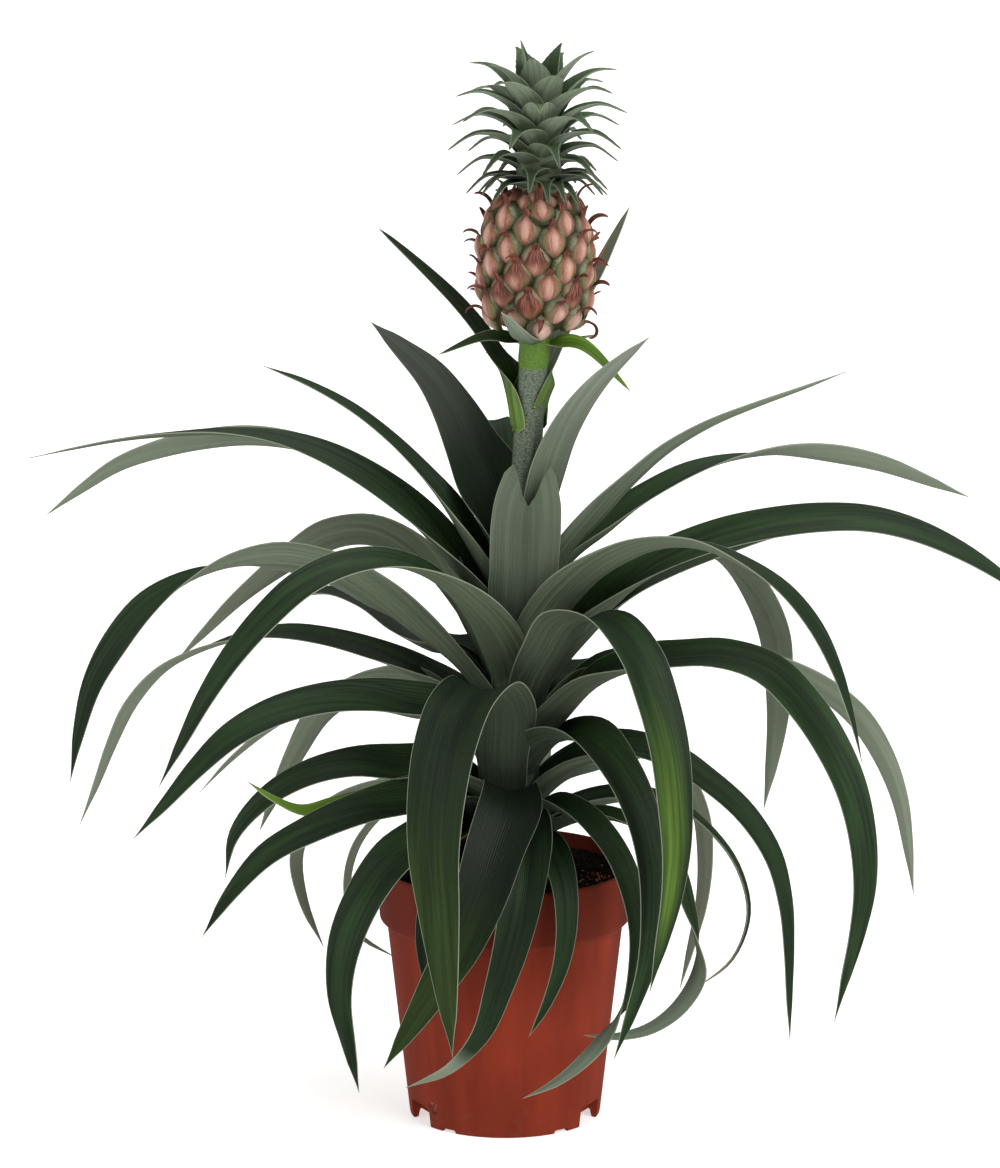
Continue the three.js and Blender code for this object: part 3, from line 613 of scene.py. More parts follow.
def blade_mesh(name, centres, lefts, rights, rib, edge, seed, wave=0.0, point=0.0, teeth=0.0,
               notch=0.0):
    """A closed blade between two margins, rib thick along its middle and edge thick at its margins.
    wave ripples the margins, point is the share of its length over which the tip comes to a point,
    teeth is the size of the spines, and notch is the depth of a notch between two round lobes at the
    tip. A deeply hollow part follows a circle, as a sheath does where it wraps the stem."""
    count = len(centres)
    run = [0.0]
    for a, b in zip(centres, centres[1:]):
        run.append(run[-1] + (b - a).length)
    corners, facts = [], []
    for i in range(count):
        share = run[i] / run[-1]
        ahead = (centres[min(i + 1, count - 1)] - centres[max(i - 1, 0)]).normalized()
        hollow = ahead.cross(lefts[i] - rights[i]).normalized()
        shrink = 1.0
        if point:
            shrink = math.sqrt(max(0.0, min(1.0, (1.0 - share) / point))) * (1 - least_tip) + least_tip
        for face in (1, -1):
            for a in blade_columns:
                side = (lefts[i] if a >= 0 else rights[i]) - centres[i]
                half = side.length * shrink
                depth = side.dot(hollow)
                flat = side - hollow * depth
                reach = abs(a) * shrink
                wide = reach
                deep = shrink * abs(a) ** hollow_power
                bend = 2 * math.atan2(depth, flat.length)
                wrap = ease(bend, wrap_from, wrap_whole)
                if wrap:
                    wide += (math.sin(bend * reach) / math.sin(bend) - reach) * wrap
                    deep += ((1 - math.cos(bend * reach)) / (1 - math.cos(bend)) - deep) * wrap
                lean = bend * reach * wrap
                normal = hollow * math.cos(lean) - flat.normalized() * math.sin(lean)
                ripple = noise.noise(Vector((run[i] * ripples, seed * 7.3, math.copysign(3, a)))) * wave
                spine = teeth * (i % 2) * (abs(a) > 0.99) * ease(share, 0.05, 0.2)
                lobe = 1.2 * (abs(a) - lobe_crest)
                if abs(a) < lobe_crest:
                    lobe = math.cos(math.pi * a / (2 * lobe_crest)) ** 2
                place = centres[i] + flat * wide * (1 + 0.2 * share ** 4 * (notch > 0))
                place += flat.normalized() * spine + ahead * notch * share ** 3 * (1 - abs(a) - lobe)
                place += hollow * (depth * deep + ripple * abs(a) ** 3 * min(1, half / stiff_half_width))
                thick = (rib + (edge - rib) * abs(a)) / 2 * (0.35 + 0.65 * ease(1 - share, 0, 0.08))
                corners.append(place + normal * thick * face)
                facts.append((a, share, run[i], a * half, (1 - abs(a)) * half, 1.0 if face > 0 else 0.0))
    mesh = bpy.data.meshes.new(name)
    mesh.from_pydata(corners, [], shell_faces(0, count, len(blade_columns)))
    for label, numbers in zip(("across", "along", "run", "reach", "inset", "upper"), zip(*facts)):
        store(mesh, label, numbers)
    smooth(mesh, sharp_angle=60)
    return mesh


def mark(mesh, **values):
    """Stores numbers on a blade, each the same all over or worked out at each point."""
    facts = {name: [0.0] * len(mesh.vertices) for name in ("across", "along", "upper")}
    for name, numbers in facts.items():
        mesh.attributes[name].data.foreach_get("value", numbers)
    for label, value in values.items():
        store(mesh, label, [value(*spot) if callable(value) else value for spot in zip(*facts.values())])


def ring_stations(node):
    """The centre, left margin and right margin of each ring of a CAD blade, foot first."""
    form = bmesh.new()
    form.from_mesh(frame["nodes"][node].data)
    bmesh.ops.remove_doubles(form, verts=form.verts, dist=weld_distance)
    form.normal_update()
    # Each end of the blade is a flat cap of four faces that share one of its six corners.
    caps, seen = [], set()
    for face in form.faces:
        if face in seen:
            continue
        flat, todo = [], [face]
        while todo:
            one = todo.pop()
            if one in seen:
                continue
            seen.add(one)
            flat.append(one)
            todo += [other for edge in one.edges for other in edge.link_faces
                     if other not in seen and other.normal.dot(face.normal) > 0.9995]
        if len(flat) == 4:
            shared = set(flat[0].verts).intersection(*(one.verts for one in flat[1:]))
            rim = {vertex for one in flat for vertex in one.verts}
            if len(shared) == 1 and len(rim) == 6:
                caps.append((shared.pop(), rim, flat))
    stem_line = Vector((7 * mm, 0))
    hub, rim, flat = min(caps, key=lambda cap: (cap[0].co.xy - stem_line).length)
    # The cap at the stem is the first ring. Its corners are put in order round the blade.
    ordered = [hub]
    while len(ordered) < 6:
        last = ordered[-1]
        step = [edge.other_vert(last) for edge in last.link_edges
                if edge.other_vert(last) in rim and edge.other_vert(last) not in ordered
                and sum(one in flat for one in edge.link_faces) == 1]
        ordered.append(step[0])
    inward = sum((one.normal for one in flat), Vector())
    turn = sum(((a.co - hub.co).cross(b.co - hub.co) for a, b in zip(ordered, ordered[1:])), Vector())
    if turn.dot(inward) > 0:
        ordered = [hub, *ordered[:0:-1]]
    ring = [ordered[5], *ordered[:5]]
    # Each further ring follows from the last one, along the edges to corners that aren't used yet.
    used = set(ring)
    rings = [[vertex.co.copy() for vertex in ring]]
    while True:
        ahead = [[edge.other_vert(corner) for edge in corner.link_edges
                  if edge.other_vert(corner) not in used] for corner in ring]
        if not any(ahead):
            break
        first, fourth = ahead[0][0], ahead[3][0]
        third = next(corner for corner in ahead[2] if corner is not fourth)
        sixth = next(corner for corner in ahead[5] if corner is not first)
        second = next(corner for corner in ahead[1] if corner not in (first, third))
        fifth = next(corner for corner in ahead[4] if corner not in (fourth, sixth))
        ring = [first, second, third, fourth, fifth, sixth]
        used |= set(ring)
        rings.append([vertex.co.copy() for vertex in ring])
    form.free()
    return ([(r[1] + r[4]) / 2 for r in rings], [(r[0] + r[5]) / 2 for r in rings],
            [(r[2] + r[3]) / 2 for r in rings])


stem_axis = [(0, 95), (0.2, 118), (1.4, 140), (4, 200), (8.5, 262), (10, 314), (13, 360), (14.5, 380)]
axis_points = smoothly([Vector((x, 0, z)) for x, z in stem_axis], 24)


def stem_centre(height):
    """The middle of the leaning stem at a height, in millimetres."""
    for a, b in zip(axis_points, axis_points[1:]):
        if height <= b.z:
            return a.lerp(b, (height - a.z) / (b.z - a.z))
    return axis_points[-1].copy()


def direction(turn):
    """A level direction at a turn about the plant's upright line, in radians."""
    return Vector((math.cos(turn), math.sin(turn), 0))


def with_sheath(centres, lefts, rights, depth, flare):
    """Carries a blade's foot on down the stem as a clasping sheath. flare is how much the foot
    broadens and deepens above it."""
    for i in range(hugged_rings):
        hug = flare * ease(i, hugged_rings, 0)
        hollow = (centres[i + 1] - centres[max(i - 1, 0)]).cross(lefts[i] - rights[i]).normalized()
        for line in (lefts, rights):
            side = line[i] - centres[i]
            inward = side.dot(hollow)
            line[i] = centres[i] + side * (1 + 0.5 * hug) + hollow * (inward * 1.2 + 2 * mm) * hug
    radial = centres[0] - stem_centre(centres[0].z / mm) * mm
    distance = radial.to_2d().length
    heading = math.atan2(radial.y, radial.x)
    spread = math.asin(min(0.9, (lefts[0] - rights[0]).length / 2 / (distance + 1 * mm)))
    for share in sheath_steps:
        height = centres[0].z - depth * share
        radius = distance + (0.6 - 2.6 * share) * mm
        opening = min(widest_opening, spread + 0.7 * share * flare)
        for line, turn in ((centres, 0), (lefts, opening), (rights, -opening)):
            line.insert(0, stem_centre(height / mm) * mm + direction(heading + turn) * radius)
    return centres, lefts, rights


def with_clasp(centres, lefts, rights, opening, rise):
    """Wraps a blade's foot round the stalk as far as its front, where it ends higher by rise."""
    radial = centres[0] - stem_centre(centres[0].z / mm) * mm
    heading = math.atan2(radial.y, radial.x)
    reach = radial.to_2d().length
    for line in (centres, lefts, rights):
        line.insert(0, centres[0] - Vector((0, 0, clasp_drop)))
    for i, share in enumerate(clasp_steps):
        middle = stem_centre(centres[i].z / mm) * mm
        for line, turn in ((lefts, opening * share), (rights, -opening * share)):
            spot = direction(heading + turn) * (reach + 0.3 * mm * i)
            line[i] = middle + spot + Vector((0, 0, rise * (1 - 0.2 * i)))
    return centres, lefts, rights


def leaf_skin(wire):
    """A waxy, dark upper side and a paler underside with a grey bloom, both finely streaked and both
    darkened towards the foot by painted shade, the upper side also by dirt. Marks on the blade paint
    shade on it, freshen it, dry it, give it more bloom or paint a lit streak on it."""
    across, run, reach = (wire.attribute(name) for name in ("across", "run", "reach"))
    upper, along, tone = (wire.attribute(name) for name in ("upper", "along", "tone"))
    stretched = wire.vector(reach * 620, run * 9, tone * 40)
    streaks = wire.grain(stretched, 1.0, 4, 0.6)
    broad = wire.vector(reach * 130, run * 14, tone * 40)
    bands = wire.grain(broad, 1.0, 2)
    veins = wire.math("SINE", across * 75 + streaks * 4)
    dark = streaks.ramp(0.36, 0.7).paint("2c4026", "192816")
    dark = (bands.ramp(0.42, 0.7) * 0.5).paint("345028", dark)
    dark = (tone * 0.65).paint("111a13", dark)
    # Painted shade, and some dirt: the upper side darkens towards the foot, where the leaves around it
    # keep the light off.
    dark = (along.ramp(0.3, 0.0) * 0.6).paint("121b10", dark)
    pale = streaks.ramp(0.35, 0.7).paint("6e7966", "535f4b")
    pale = (bands.ramp(0.45, 0.75) * 0.4).paint("5f6d52", pale)
    pale = (veins.ramp(0.4, 1.0) * 0.15).paint("434e3c", pale)
    pale = (along.ramp(0.3, 0.85) * 0.36).paint("98a18f", pale)
    # Painted shade: the underside darkens towards the foot, deep among the other leaves.
    painted_shade_foot = streaks.ramp(0.3, 0.7).paint("4c5942", "333e2b")
    pale = (along.ramp(0.4, 0.1) * 0.65).paint(painted_shade_foot, pale)
    in_shade = streaks.ramp(0.3, 0.75).paint("465142", "343f30")
    pale = wire.attribute("shade").paint(in_shade, pale)
    colour = upper.paint(dark, pale)
    bloom = wire.attribute("bloom")
    colour = bloom.paint(streaks.ramp(0.35, 0.7).paint("c3c8bd", "9ea698"), colour)
    # The fresh mark is fresh green, but on leaf_19 it is a painted streak of light.
    fresh = wire.attribute("fresh") * (0.7 + 0.3 * bands.ramp(0.3, 0.6))
    colour = fresh.paint(streaks.ramp(0.3, 0.7).paint("7fa136", "537a22"), colour)
    dried = wire.attribute("dry")
    colour = dried.paint(streaks.ramp(0.35, 0.65).paint("a08a63", "6d5236"), colour)
    margin = wire.attribute("inset").ramp(0.38 * mm, 0.1 * mm)
    colour = (margin * 0.55).paint("a3ab95", colour)
    return {
        "Base Color": colour,
        "Roughness": 0.62 - upper * 0.16 + streaks.ramp(0.3, 0.7) * 0.08,
        "Specular IOR Level": 0.18,
        "Normal": wire.bump(veins * 0.5 + streaks * 1.2, 0.28, 0.4 * mm),
    }


leaf_finish = finish("waxy leaf", leaf_skin)


# Each of these says how strong a mark is at a point of a blade: its share of the way from the middle
# to a margin, its share of the blade's length, and whether it is on the upper side.
# A painted streak of light along the upper side, put on with the fresh green.
def sunlit_streak(across, along, upper):
    band = ease(abs(across + 0.15), 1.1, 0.2)
    return 0.52 * band * ease(along, 0.54, 0.78) * ease(along, 0.98, 0.86) * upper


def pale_end(across, along, upper):
    return 0.35 * ease(along, 0.5, 0.95) * (1 - upper)


def pale_tail(across, along, upper):
    return upper * ease(along, 0.9, 0.84)


def hollow_shade(across, along, upper):
    return 0.75 - 0.35 * abs(across)


def scorched_side(across, along, upper):
    spots = noise.noise(Vector((across * 3, along * 22, 5)))
    length = ease(along, 0.64, 0.72) * ease(along, 0.96, 0.88)
    return ease(spots, -0.15, 0.1) * ease(across, -0.1, 0.5) * length


def from_to(start, end, amount=1.0):
    """A number that grows along a blade, from 0 at the share start to the amount at the share end."""
    return lambda across, along, upper: amount * ease(along, start, end)


leaf_changes = {
    "leaf_02": {"shade": 0.6},
    "leaf_16": {"tone": 0.0},
    "leaf_19": {"fresh": sunlit_streak, "tone": 0.6, "shade": 0.5},
    "leaf_20": {"tone": 1.0, "shade": from_to(0.5, 0.3), "fresh": from_to(0.55, 0.85, 0.14)},
    "leaf_21": {"tone": 1.35, "shade": from_to(0.5, 0.3), "fresh": from_to(0.55, 0.85, 0.14)},
    "leaf_22": {"tone": 0.2, "shade": from_to(0.5, 0.3)},
    "leaf_23": {"upper": pale_tail},
    "leaf_26": {"shade": 0.5},
    "leaf_27": {"fresh": 0.75},
    "leaf_28": {"fresh": from_to(0.5, 0.85, 0.5)},
    "leaf_33": {"dry": from_to(0.86, 0.97)},
    "leaf_35": {"shade": 0.5},
    "leaf_heart_front": {"shade": hollow_shade},
    "leaf_heart_left": {"bloom": from_to(0.55, 0.85, 0.16), "tone": 1.0},
    "leaf_heart_right": {"bloom": pale_end, "shade": 0.35},
    "leaf_stalk_left": {"fresh": from_to(0.32, 0.1, 0.62)},
    "leaf_stalk_right": {"fresh": from_to(0.32, 0.1, 0.62), "dry": scorched_side, "upper": 0.0},
}
narrow_feet = ("leaf_heart_front", "leaf_heart_right", "leaf_19", "leaf_20", "leaf_21")
stalk_feet = {"leaf_stalk_left": (2.25, 4 * mm), "leaf_stalk_right": (2.1, 20 * mm)}
leaf_nodes = sorted(name for name in frame["nodes"] if name.startswith("leaf"))
for number, node in enumerate(leaf_nodes):
    stations = ring_stations(node)
    if node in stalk_feet:
        stations = with_clasp(*stations, *stalk_feet[node])
    else:
        depth = min(sheath_length, stations[0][0].z - sheath_end)
        stations = with_sheath(*stations, depth, flare=0.1 if node in narrow_feet else 1.0)
    centres, lefts, rights = (smoothly(line, 5) for line in stations)
    tip = {"notch": heart_notch} if node == "leaf_heart_front" else {"point": leaf_point}
    blade = blade_mesh(node.replace("leaf", "blade"), centres, lefts, rights, leaf_rib, leaf_edge,
                       seed=number, wave=leaf_wave, **tip)
    tone = 0.75 * random.Random(number).random()
    unchanged = {"tone": tone, "fresh": 0.0, "dry": 0.0, "bloom": 0.0, "shade": 0.0}
    mark(blade, **(unchanged | leaf_changes.get(node, {})))
    belongs(placed(blade.name, blade, leaf_finish), "leaf", node)


# ---- Stem, stalk and the bracts under the fruit ----------------------------------------------
# The short stem is hidden by the feet of the leaves. Above them it goes on as the bare stalk, grey
# with scurf, to a fresh green collar from which small leafy bracts grow under the fruit.

stem_bottom = 101
stem_top = 375.9
stem_rows = 180
stem_sides = 56
collar_foot = 357.5 * mm
stem_outline = [(13, 101), (14, 112), (13.5, 130), (12, 190), (10.5, 240), (9, 280), (6.9, 305),
                (6.5, 358.5), (7, 361.5), (7.2, 370), (7, 376)]


def read_table(table, height):
    """The radius at a height, from a table of radii and heights."""
    for (low, low_height), (high, high_height) in zip(table, table[1:]):
        if height <= high_height:
            return low + (high - low) * (height - low_height) / (high_height - low_height)
    return table[-1][0]


def stem_mesh():
    """The closed stem and stalk, uneven and faintly ribbed near its top."""
    form = bmesh.new()
    rows = []
    for k in range(stem_rows + 1):
        height = stem_bottom + (stem_top - stem_bottom) * k / stem_rows
        middle = stem_centre(height)
        row = []
        for side in range(stem_sides):
            turn = math.tau * side / stem_sides
            lump = noise.noise(Vector((math.cos(turn) * 2, math.sin(turn) * 2, height * 0.12)))
            ribs = math.sin(turn * 9 + height * 0.02) * 0.12 * ease(height, 300, 320)
            radius = read_table(stem_outline, height) + lump * 0.35 + ribs
            row.append(form.verts.new((
                (middle.x + radius * math.cos(turn)) * mm, (middle.y + radius * math.sin(turn)) * mm,
                height * mm)))
        rows.append(row)
    join_rings(form, rows)
    form.faces.new(rows[0][::-1])
    form.faces.new(rows[-1])
    return meshed("stem_and_stalk", form, sharp_angle=50)


def stalk_skin(wire):
    """Green-grey low down, silvery scurf on the stalk, and a fresh green collar."""
    where = wire.place()
    height = wire.node("ShaderNodeSeparateXYZ", inputs={0: where}, output="Z")
    stretched = wire.node("ShaderNodeMapping", inputs={"Vector": where, "Scale": (1, 1, 1.3)})
    scurf = wire.grain(stretched, 1100, 5, 0.7)
    silver = scurf.ramp(0.4, 0.62).paint("788373", "45523c")
    green = scurf.ramp(0.3, 0.7).paint("6a8a2a", "456d1f")
    lower = scurf.ramp(0.35, 0.65).paint("454f39", "2a3222")
    colour = height.ramp(290 * mm, 310 * mm).paint(silver, lower)
    colour = height.ramp(collar_foot, collar_foot + 1.5 * mm).paint(green, colour)
    return {"Base Color": colour, "Roughness": 0.62, "Normal": wire.bump(scurf, 0.35, 0.5 * mm)}


stalk = placed("stem_and_stalk", stem_mesh(), finish("scurfy stalk", stalk_skin))
belongs(stalk, "stem", "stem")

# Each has its turn, the height of its foot, its width, how late it narrows, the rest of its route,
# its roll and how fresh a green it is.
fruit_bracts = [
    (182, 369, 8, 1.8, [(-8, 0, 372.5), (-31, 0, 364)], -40, 0.15),
    (268, 370, 11, 2.2, [(8, -27, 376), (-2, -36, 391)], 0, 0.0),
    (340, 369, 8, 2.0, [(36, -9, 370), (58, -18, 350)], 45, 0.9),
    (20, 368, 5, 1.6, [(29, 4, 370), (43, 8, 372)], 0, 0.3),
    (130, 367, 5, 1.6, [(0, 16, 369), (-9, 26, 360)], 0, 0.3),
    (88, 369, 6, 1.6, [(13, 22, 373), (13, 36, 367)], 0, 0.3),
]
for number, (turn, foot_height, width, taper, route, roll, fresh) in enumerate(fruit_bracts):
    radial = direction(math.radians(turn))
    side = Vector((-radial.y, radial.x, 0))
    foot = stem_centre(foot_height) + radial * (read_table(stem_outline, foot_height) - 3)
    line = smoothly([foot, *(Vector(spot) for spot in route)], 12)
    centres, lefts, rights = [], [], []
    for k, spot in enumerate(line):
        share = k / (len(line) - 1)
        half = width / 2 * (0.75 + 0.25 * ease(share, 0, 0.3)) * (1 - share ** taper) + 0.2
        ahead = (line[min(k + 1, len(line) - 1)] - line[max(k - 1, 0)]).normalized()
        across = (side - ahead * side.dot(ahead)).normalized()
        across = Matrix.Rotation(math.radians(roll * ease(share, 0, 0.3)), 3, ahead) @ across
        hollow = ahead.cross(across)
        centres.append(spot * mm)
        lefts.append((spot + across * half + hollow * half * 0.35) * mm)
        rights.append((spot - across * half + hollow * half * 0.35) * mm)
    leaflet = blade_mesh("fruit_bract_%d" % (number + 1), centres, lefts, rights, rib=1.0 * mm,
                         edge=0.4 * mm, seed=60 + number, wave=0.3 * mm, point=0.1)
    mark(leaflet, tone=0.3, dry=0.0, bloom=0.0, shade=0.0, fresh=fresh)
    belongs(placed(leaflet.name, leaflet, leaf_finish), "stem")


# ---- Fruit ----------------------------------------------------------------------------------
# Sixty berries grown together on a barrel-shaped core, in crossing spirals, and some stunted ones at
# its top. Each has a grey-green head under a plump pink bract with a dry, curling, brown tip.

fruit_centre = Vector((14, 0, 376.5))
fruit_outline = [
    (0, 0), (11, 0), (19, 3.5), (23.4, 13), (24.2, 28), (23.2, 44), (18, 57), (9, 62.5), (0, 62.5)]
fruit_sides = 64
berries = 60
first_berry = 0.09
last_berry = 0.93
golden_turn = 137.508
stunted_berries = 14
stunted_size = 0.7
last_stunted = 0.985
berry_scatter = 0.6
end_berries = 0.14
top_berries = 0.8
head_spokes = 20
head_rings = [0.2, 0.42, 0.62, 0.78, 0.9, 1.0]
head_width = 8.0
head_height = 8.9
head_rise = 4.8
head_sunk = 1.8
head_squareness = 1.8
bract_columns = [-1, -0.8, -0.45, 0, 0.45, 0.8, 1]
bract_halves = [(-8.2, 0.4), (-6.8, 2.4), (-5.1, 4.2), (-3.3, 5.6), (-1.5, 6.2), (0.4, 5.7), (2.3, 4.5),
                (4.0, 3.1), (5.4, 1.9)]
bract_thickness = 0.28


def outline_point(share):
    """Radius, height and slope of the barrel at a share of its surface, from the bottom."""
    bands = [(a, b, (a[0] + b[0]) * math.dist(a, b)) for a, b in zip(fruit_outline, fruit_outline[1:])]
    left = share * sum(band[2] for band in bands)
    for low, high, area in bands:
        if left <= area:
            part = left / area
            slope = math.atan2(high[1] - low[1], high[0] - low[0])
            return low[0] + (high[0] - low[0]) * part, low[1] + (high[1] - low[1]) * part, slope
        left -= area
    raise ValueError("share past the top of the barrel")


def head_surface(x, y):
    """Height of a berry's head above the core, x to the side and y up the fruit."""
    reach = (abs(x) / head_width) ** head_squareness + (abs(y) / head_height) ** head_squareness
    reach = min(1.0, reach ** (1 / head_squareness))
    return head_rise * (1 - reach ** 2.4) ** 0.8 - head_sunk


def berry_head(seed):
    """The closed head of a berry, as its corners and faces."""
    spokes = head_spokes
    corners = [Vector((0, 0, head_surface(0, 0)))]
    for ring in head_rings:
        for k in range(spokes):
            turn = math.tau * k / spokes
            flare = abs(math.cos(turn)) ** head_squareness + abs(math.sin(turn)) ** head_squareness
            reach = ring * flare ** (-1 / head_squareness)
            x = head_width * reach * math.cos(turn)
            y = head_height * reach * math.sin(turn)
            wrinkle = 0.25 * math.sin(turn * 7 + seed) * ring * (1 - ring)
            corners.append(Vector((x, y, head_surface(x, y) + wrinkle)))
    corners.append(Vector((0, 0, -3)))
    faces = [(0, 1 + k, 1 + (k + 1) % spokes) for k in range(spokes)]
    for ring in range(len(head_rings) - 1):
        for k in range(spokes):
            after = (k + 1) % spokes
            low, high = 1 + ring * spokes, 1 + (ring + 1) * spokes
            faces.append((low + k, high + k, high + after, low + after))
    last = 1 + (len(head_rings) - 1) * spokes
    faces += [(last + (k + 1) % spokes, last + k, len(corners) - 1) for k in range(spokes)]
    return corners, faces


def bract_rows(choice, lengths, tilts, curls):
    """Rows of points across a berry's bract, from its foot to the end of its dry tip. The tip starts
    at a tilt from straight up the fruit, and curls outwards by so many degrees in all."""
    rows = []
    for y, half in bract_halves:
        half *= 1 + 0.12 * choice.uniform(-1, 1)
        lift = 0.22 + 0.4 * ease(y, -6, 1)
        keel = 0.7 * ease(y, -7, 0)
        row = []
        for a in bract_columns:
            rise = head_surface(a * half, y) + lift * (1 - 0.7 * a * a) + keel * (1 - abs(a)) ** 2
            row.append(Vector((a * half, y - 0.5 * a * a, rise)))
        rows.append(row)
    length, tilt, curl = (choice.uniform(*span) for span in (lengths, tilts, curls))
    sway = choice.uniform(-0.35, 0.35)
    twist = math.radians(choice.uniform(-80, 80))
    steps = round(length / 0.8)
    spot = rows[-1][len(bract_columns) // 2]
    for step in range(1, steps + 1):
        share = step / steps
        lean = math.radians(tilt + curl * share ** 1.3)
        ahead = Vector((sway * share, math.cos(lean), math.sin(lean))).normalized()
        spot = spot + ahead * length / steps
        across = Matrix.Rotation(twist * share, 3, ahead) @ Vector((1, 0, 0))
        out = across.cross(ahead)
        half = 2.1 * (1 - share) ** 0.6 + 0.2
        rows.append([spot + across * a * half - out * a * a * half * 0.5 for a in bract_columns])
    return rows


def berry_mesh(seed, **tips):
    """One berry: its head, and its bract as a closed thin shell."""
    corners, faces = berry_head(seed)
    rows = bract_rows(random.Random(seed), **tips)
    bract_from = len(corners)
    width = len(bract_columns)
    middle = width // 2
    fleshy = len(bract_halves) - 1
    rises = [0.0] * bract_from
    sides = [corner.x / head_width for corner in corners]
    for i, row in enumerate(rows):
        ahead = rows[min(i + 1, len(rows) - 1)][middle] - rows[max(i - 1, 0)][middle]
        out = (row[-1] - row[0]).cross(ahead).normalized() * bract_thickness / 2
        for face in (1, -1):
            corners += [place + out * face for place in row]
            sides += bract_columns
        rise = 0.5 * i / fleshy if i <= fleshy else 0.5 + 0.5 * (i - fleshy) / (len(rows) - 1 - fleshy)
        rises += [rise] * 2 * width
    faces += shell_faces(bract_from, len(rows), width, over=True)
    mesh = bpy.data.meshes.new("berry")
    mesh.from_pydata([corner * mm for corner in corners], [], faces)
    facts = {
        "bract": [0.0] * bract_from + [1.0] * (len(corners) - bract_from),
        "rise": rises,
        "depth": [corner.z / head_rise for corner in corners],
        "sideways": sides,
    }
    for label, numbers in facts.items():
        store(mesh, label, numbers)
    smooth(mesh, sharp_angle=60)
    return mesh


def berry_skin(wire):
    """A grey-green head, and a pink bract with green edges that dries to a brown tip. Both are
    darkened deep between the berries by painted shade.
    """
    bract, rise, depth, sideways, shade, low = (
        wire.attribute(name) for name in ("bract", "rise", "depth", "sideways", "shade", "low"))
    where = wire.place()
    fine = wire.grain(where, 1100, 4, 0.65)
    soft = wire.grain(where, 260, 3)
    drawn = wire.vector(sideways * 7, rise * 4, shade * 60)
    strands = wire.grain(drawn, 1.0, 5, 0.6)
    head = soft.ramp(0.35, 0.65).paint("868c6b", "5c6340")
    head = (fine.ramp(0.5, 0.7) * 0.5).paint("b3b597", head)
    head = (shade.ramp(0.5, 1.0) * 0.5).paint("94705a", head)
    # Painted shade: the head darkens where it sinks deep between the berries.
    head = depth.ramp(0.42, -0.15).paint("33300f", head)
    edge = wire.math("ABSOLUTE", sideways + (shade - 0.5) * 0.35)
    flesh = strands.ramp(0.35, 0.7).paint("b17767", "7c4134")
    # The pale middle of the bract is partly its own whitish colour and partly a painted highlight along
    # its raised keel.
    flesh = (edge.ramp(0.6, 0.0) * rise.ramp(0.02, 0.2) * 0.8).paint("d5aa96", flesh)
    flesh = (strands.ramp(0.56, 0.7) * edge.ramp(0.8, 0.3) * 0.6).paint("e6cfc0", flesh)
    flesh = (fine.ramp(0.55, 0.68) * 0.35).paint("d8b8a6", flesh)
    flesh = (shade * 0.3).paint("8f5642", flesh)
    flesh = (low * 0.45).paint("d9c1b2", flesh)
    ragged = edge + (soft - 0.5) * 0.9 + (fine - 0.5) * 0.5
    flesh = (ragged.ramp(0.5, 0.95) * 0.85).paint("6c6f42", flesh)
    # Painted shade: the bract darkens low down, deep between the berries.
    flesh = depth.ramp(0.42, -0.15).paint("463812", flesh)
    tip = strands.ramp(0.4, 0.65).paint("96533a", "43201a")
    withered = shade.ramp(0.75, 0.95) * 0.3
    dried = (rise + withered + (strands - 0.5) * 0.5).ramp(0.34, 0.54)
    colour = bract.paint(dried.paint(tip, flesh), head)
    relief = fine * 0.6 + strands * bract
    return {"Base Color": colour, "Roughness": 0.6, "Normal": wire.bump(relief, 0.45, 0.4 * mm)}


def core_skin(wire):
    """The dull green-brown that shows deep between the berries."""
    soft = wire.grain(wire.place(), 300, 3)
    return {"Base Color": soft.ramp(0.4, 0.65).paint("4d4a22", "2f2912"), "Roughness": 0.7}


def berries_on_points(given):
    """One of a family of berries on each point, chosen, turned and sized as the point says."""
    def named(attribute, kind):
        return given.node("GeometryNodeInputNamedAttribute", {"data_type": kind}, {"Name": attribute})

    family = given.node("GeometryNodeCollectionInfo", inputs={
        "Collection": given.also("Family"), "Separate Children": True, "Reset Children": True})
    return given.node("GeometryNodeInstanceOnPoints", inputs={
        "Points": given, "Instance": family, "Pick Instance": True,
        "Instance Index": named("kind", "INT"), "Rotation": named("turn", "FLOAT_VECTOR"),
        "Scale": named("size", "FLOAT") * given.also("Size")})


family = bpy.data.collections.new("berries")
short_tips = dict(lengths=(4, 7), tilts=(10, 40), curls=(0, 60))
hooked_tips = dict(lengths=(7, 11), tilts=(25, 60), curls=(60, 170))
long_tips = dict(lengths=(9, 14), tilts=(0, 50), curls=(40, 220))
kinds_of_tip = [short_tips] * 7 + [hooked_tips] * 7 + [long_tips] * 6
middle_kinds = 14
end_kinds = range(middle_kinds, len(kinds_of_tip))
for seed, tips in enumerate(kinds_of_tip):
    family.objects.link(bpy.data.objects.new("berry %02d" % seed, berry_mesh(seed, **tips)))

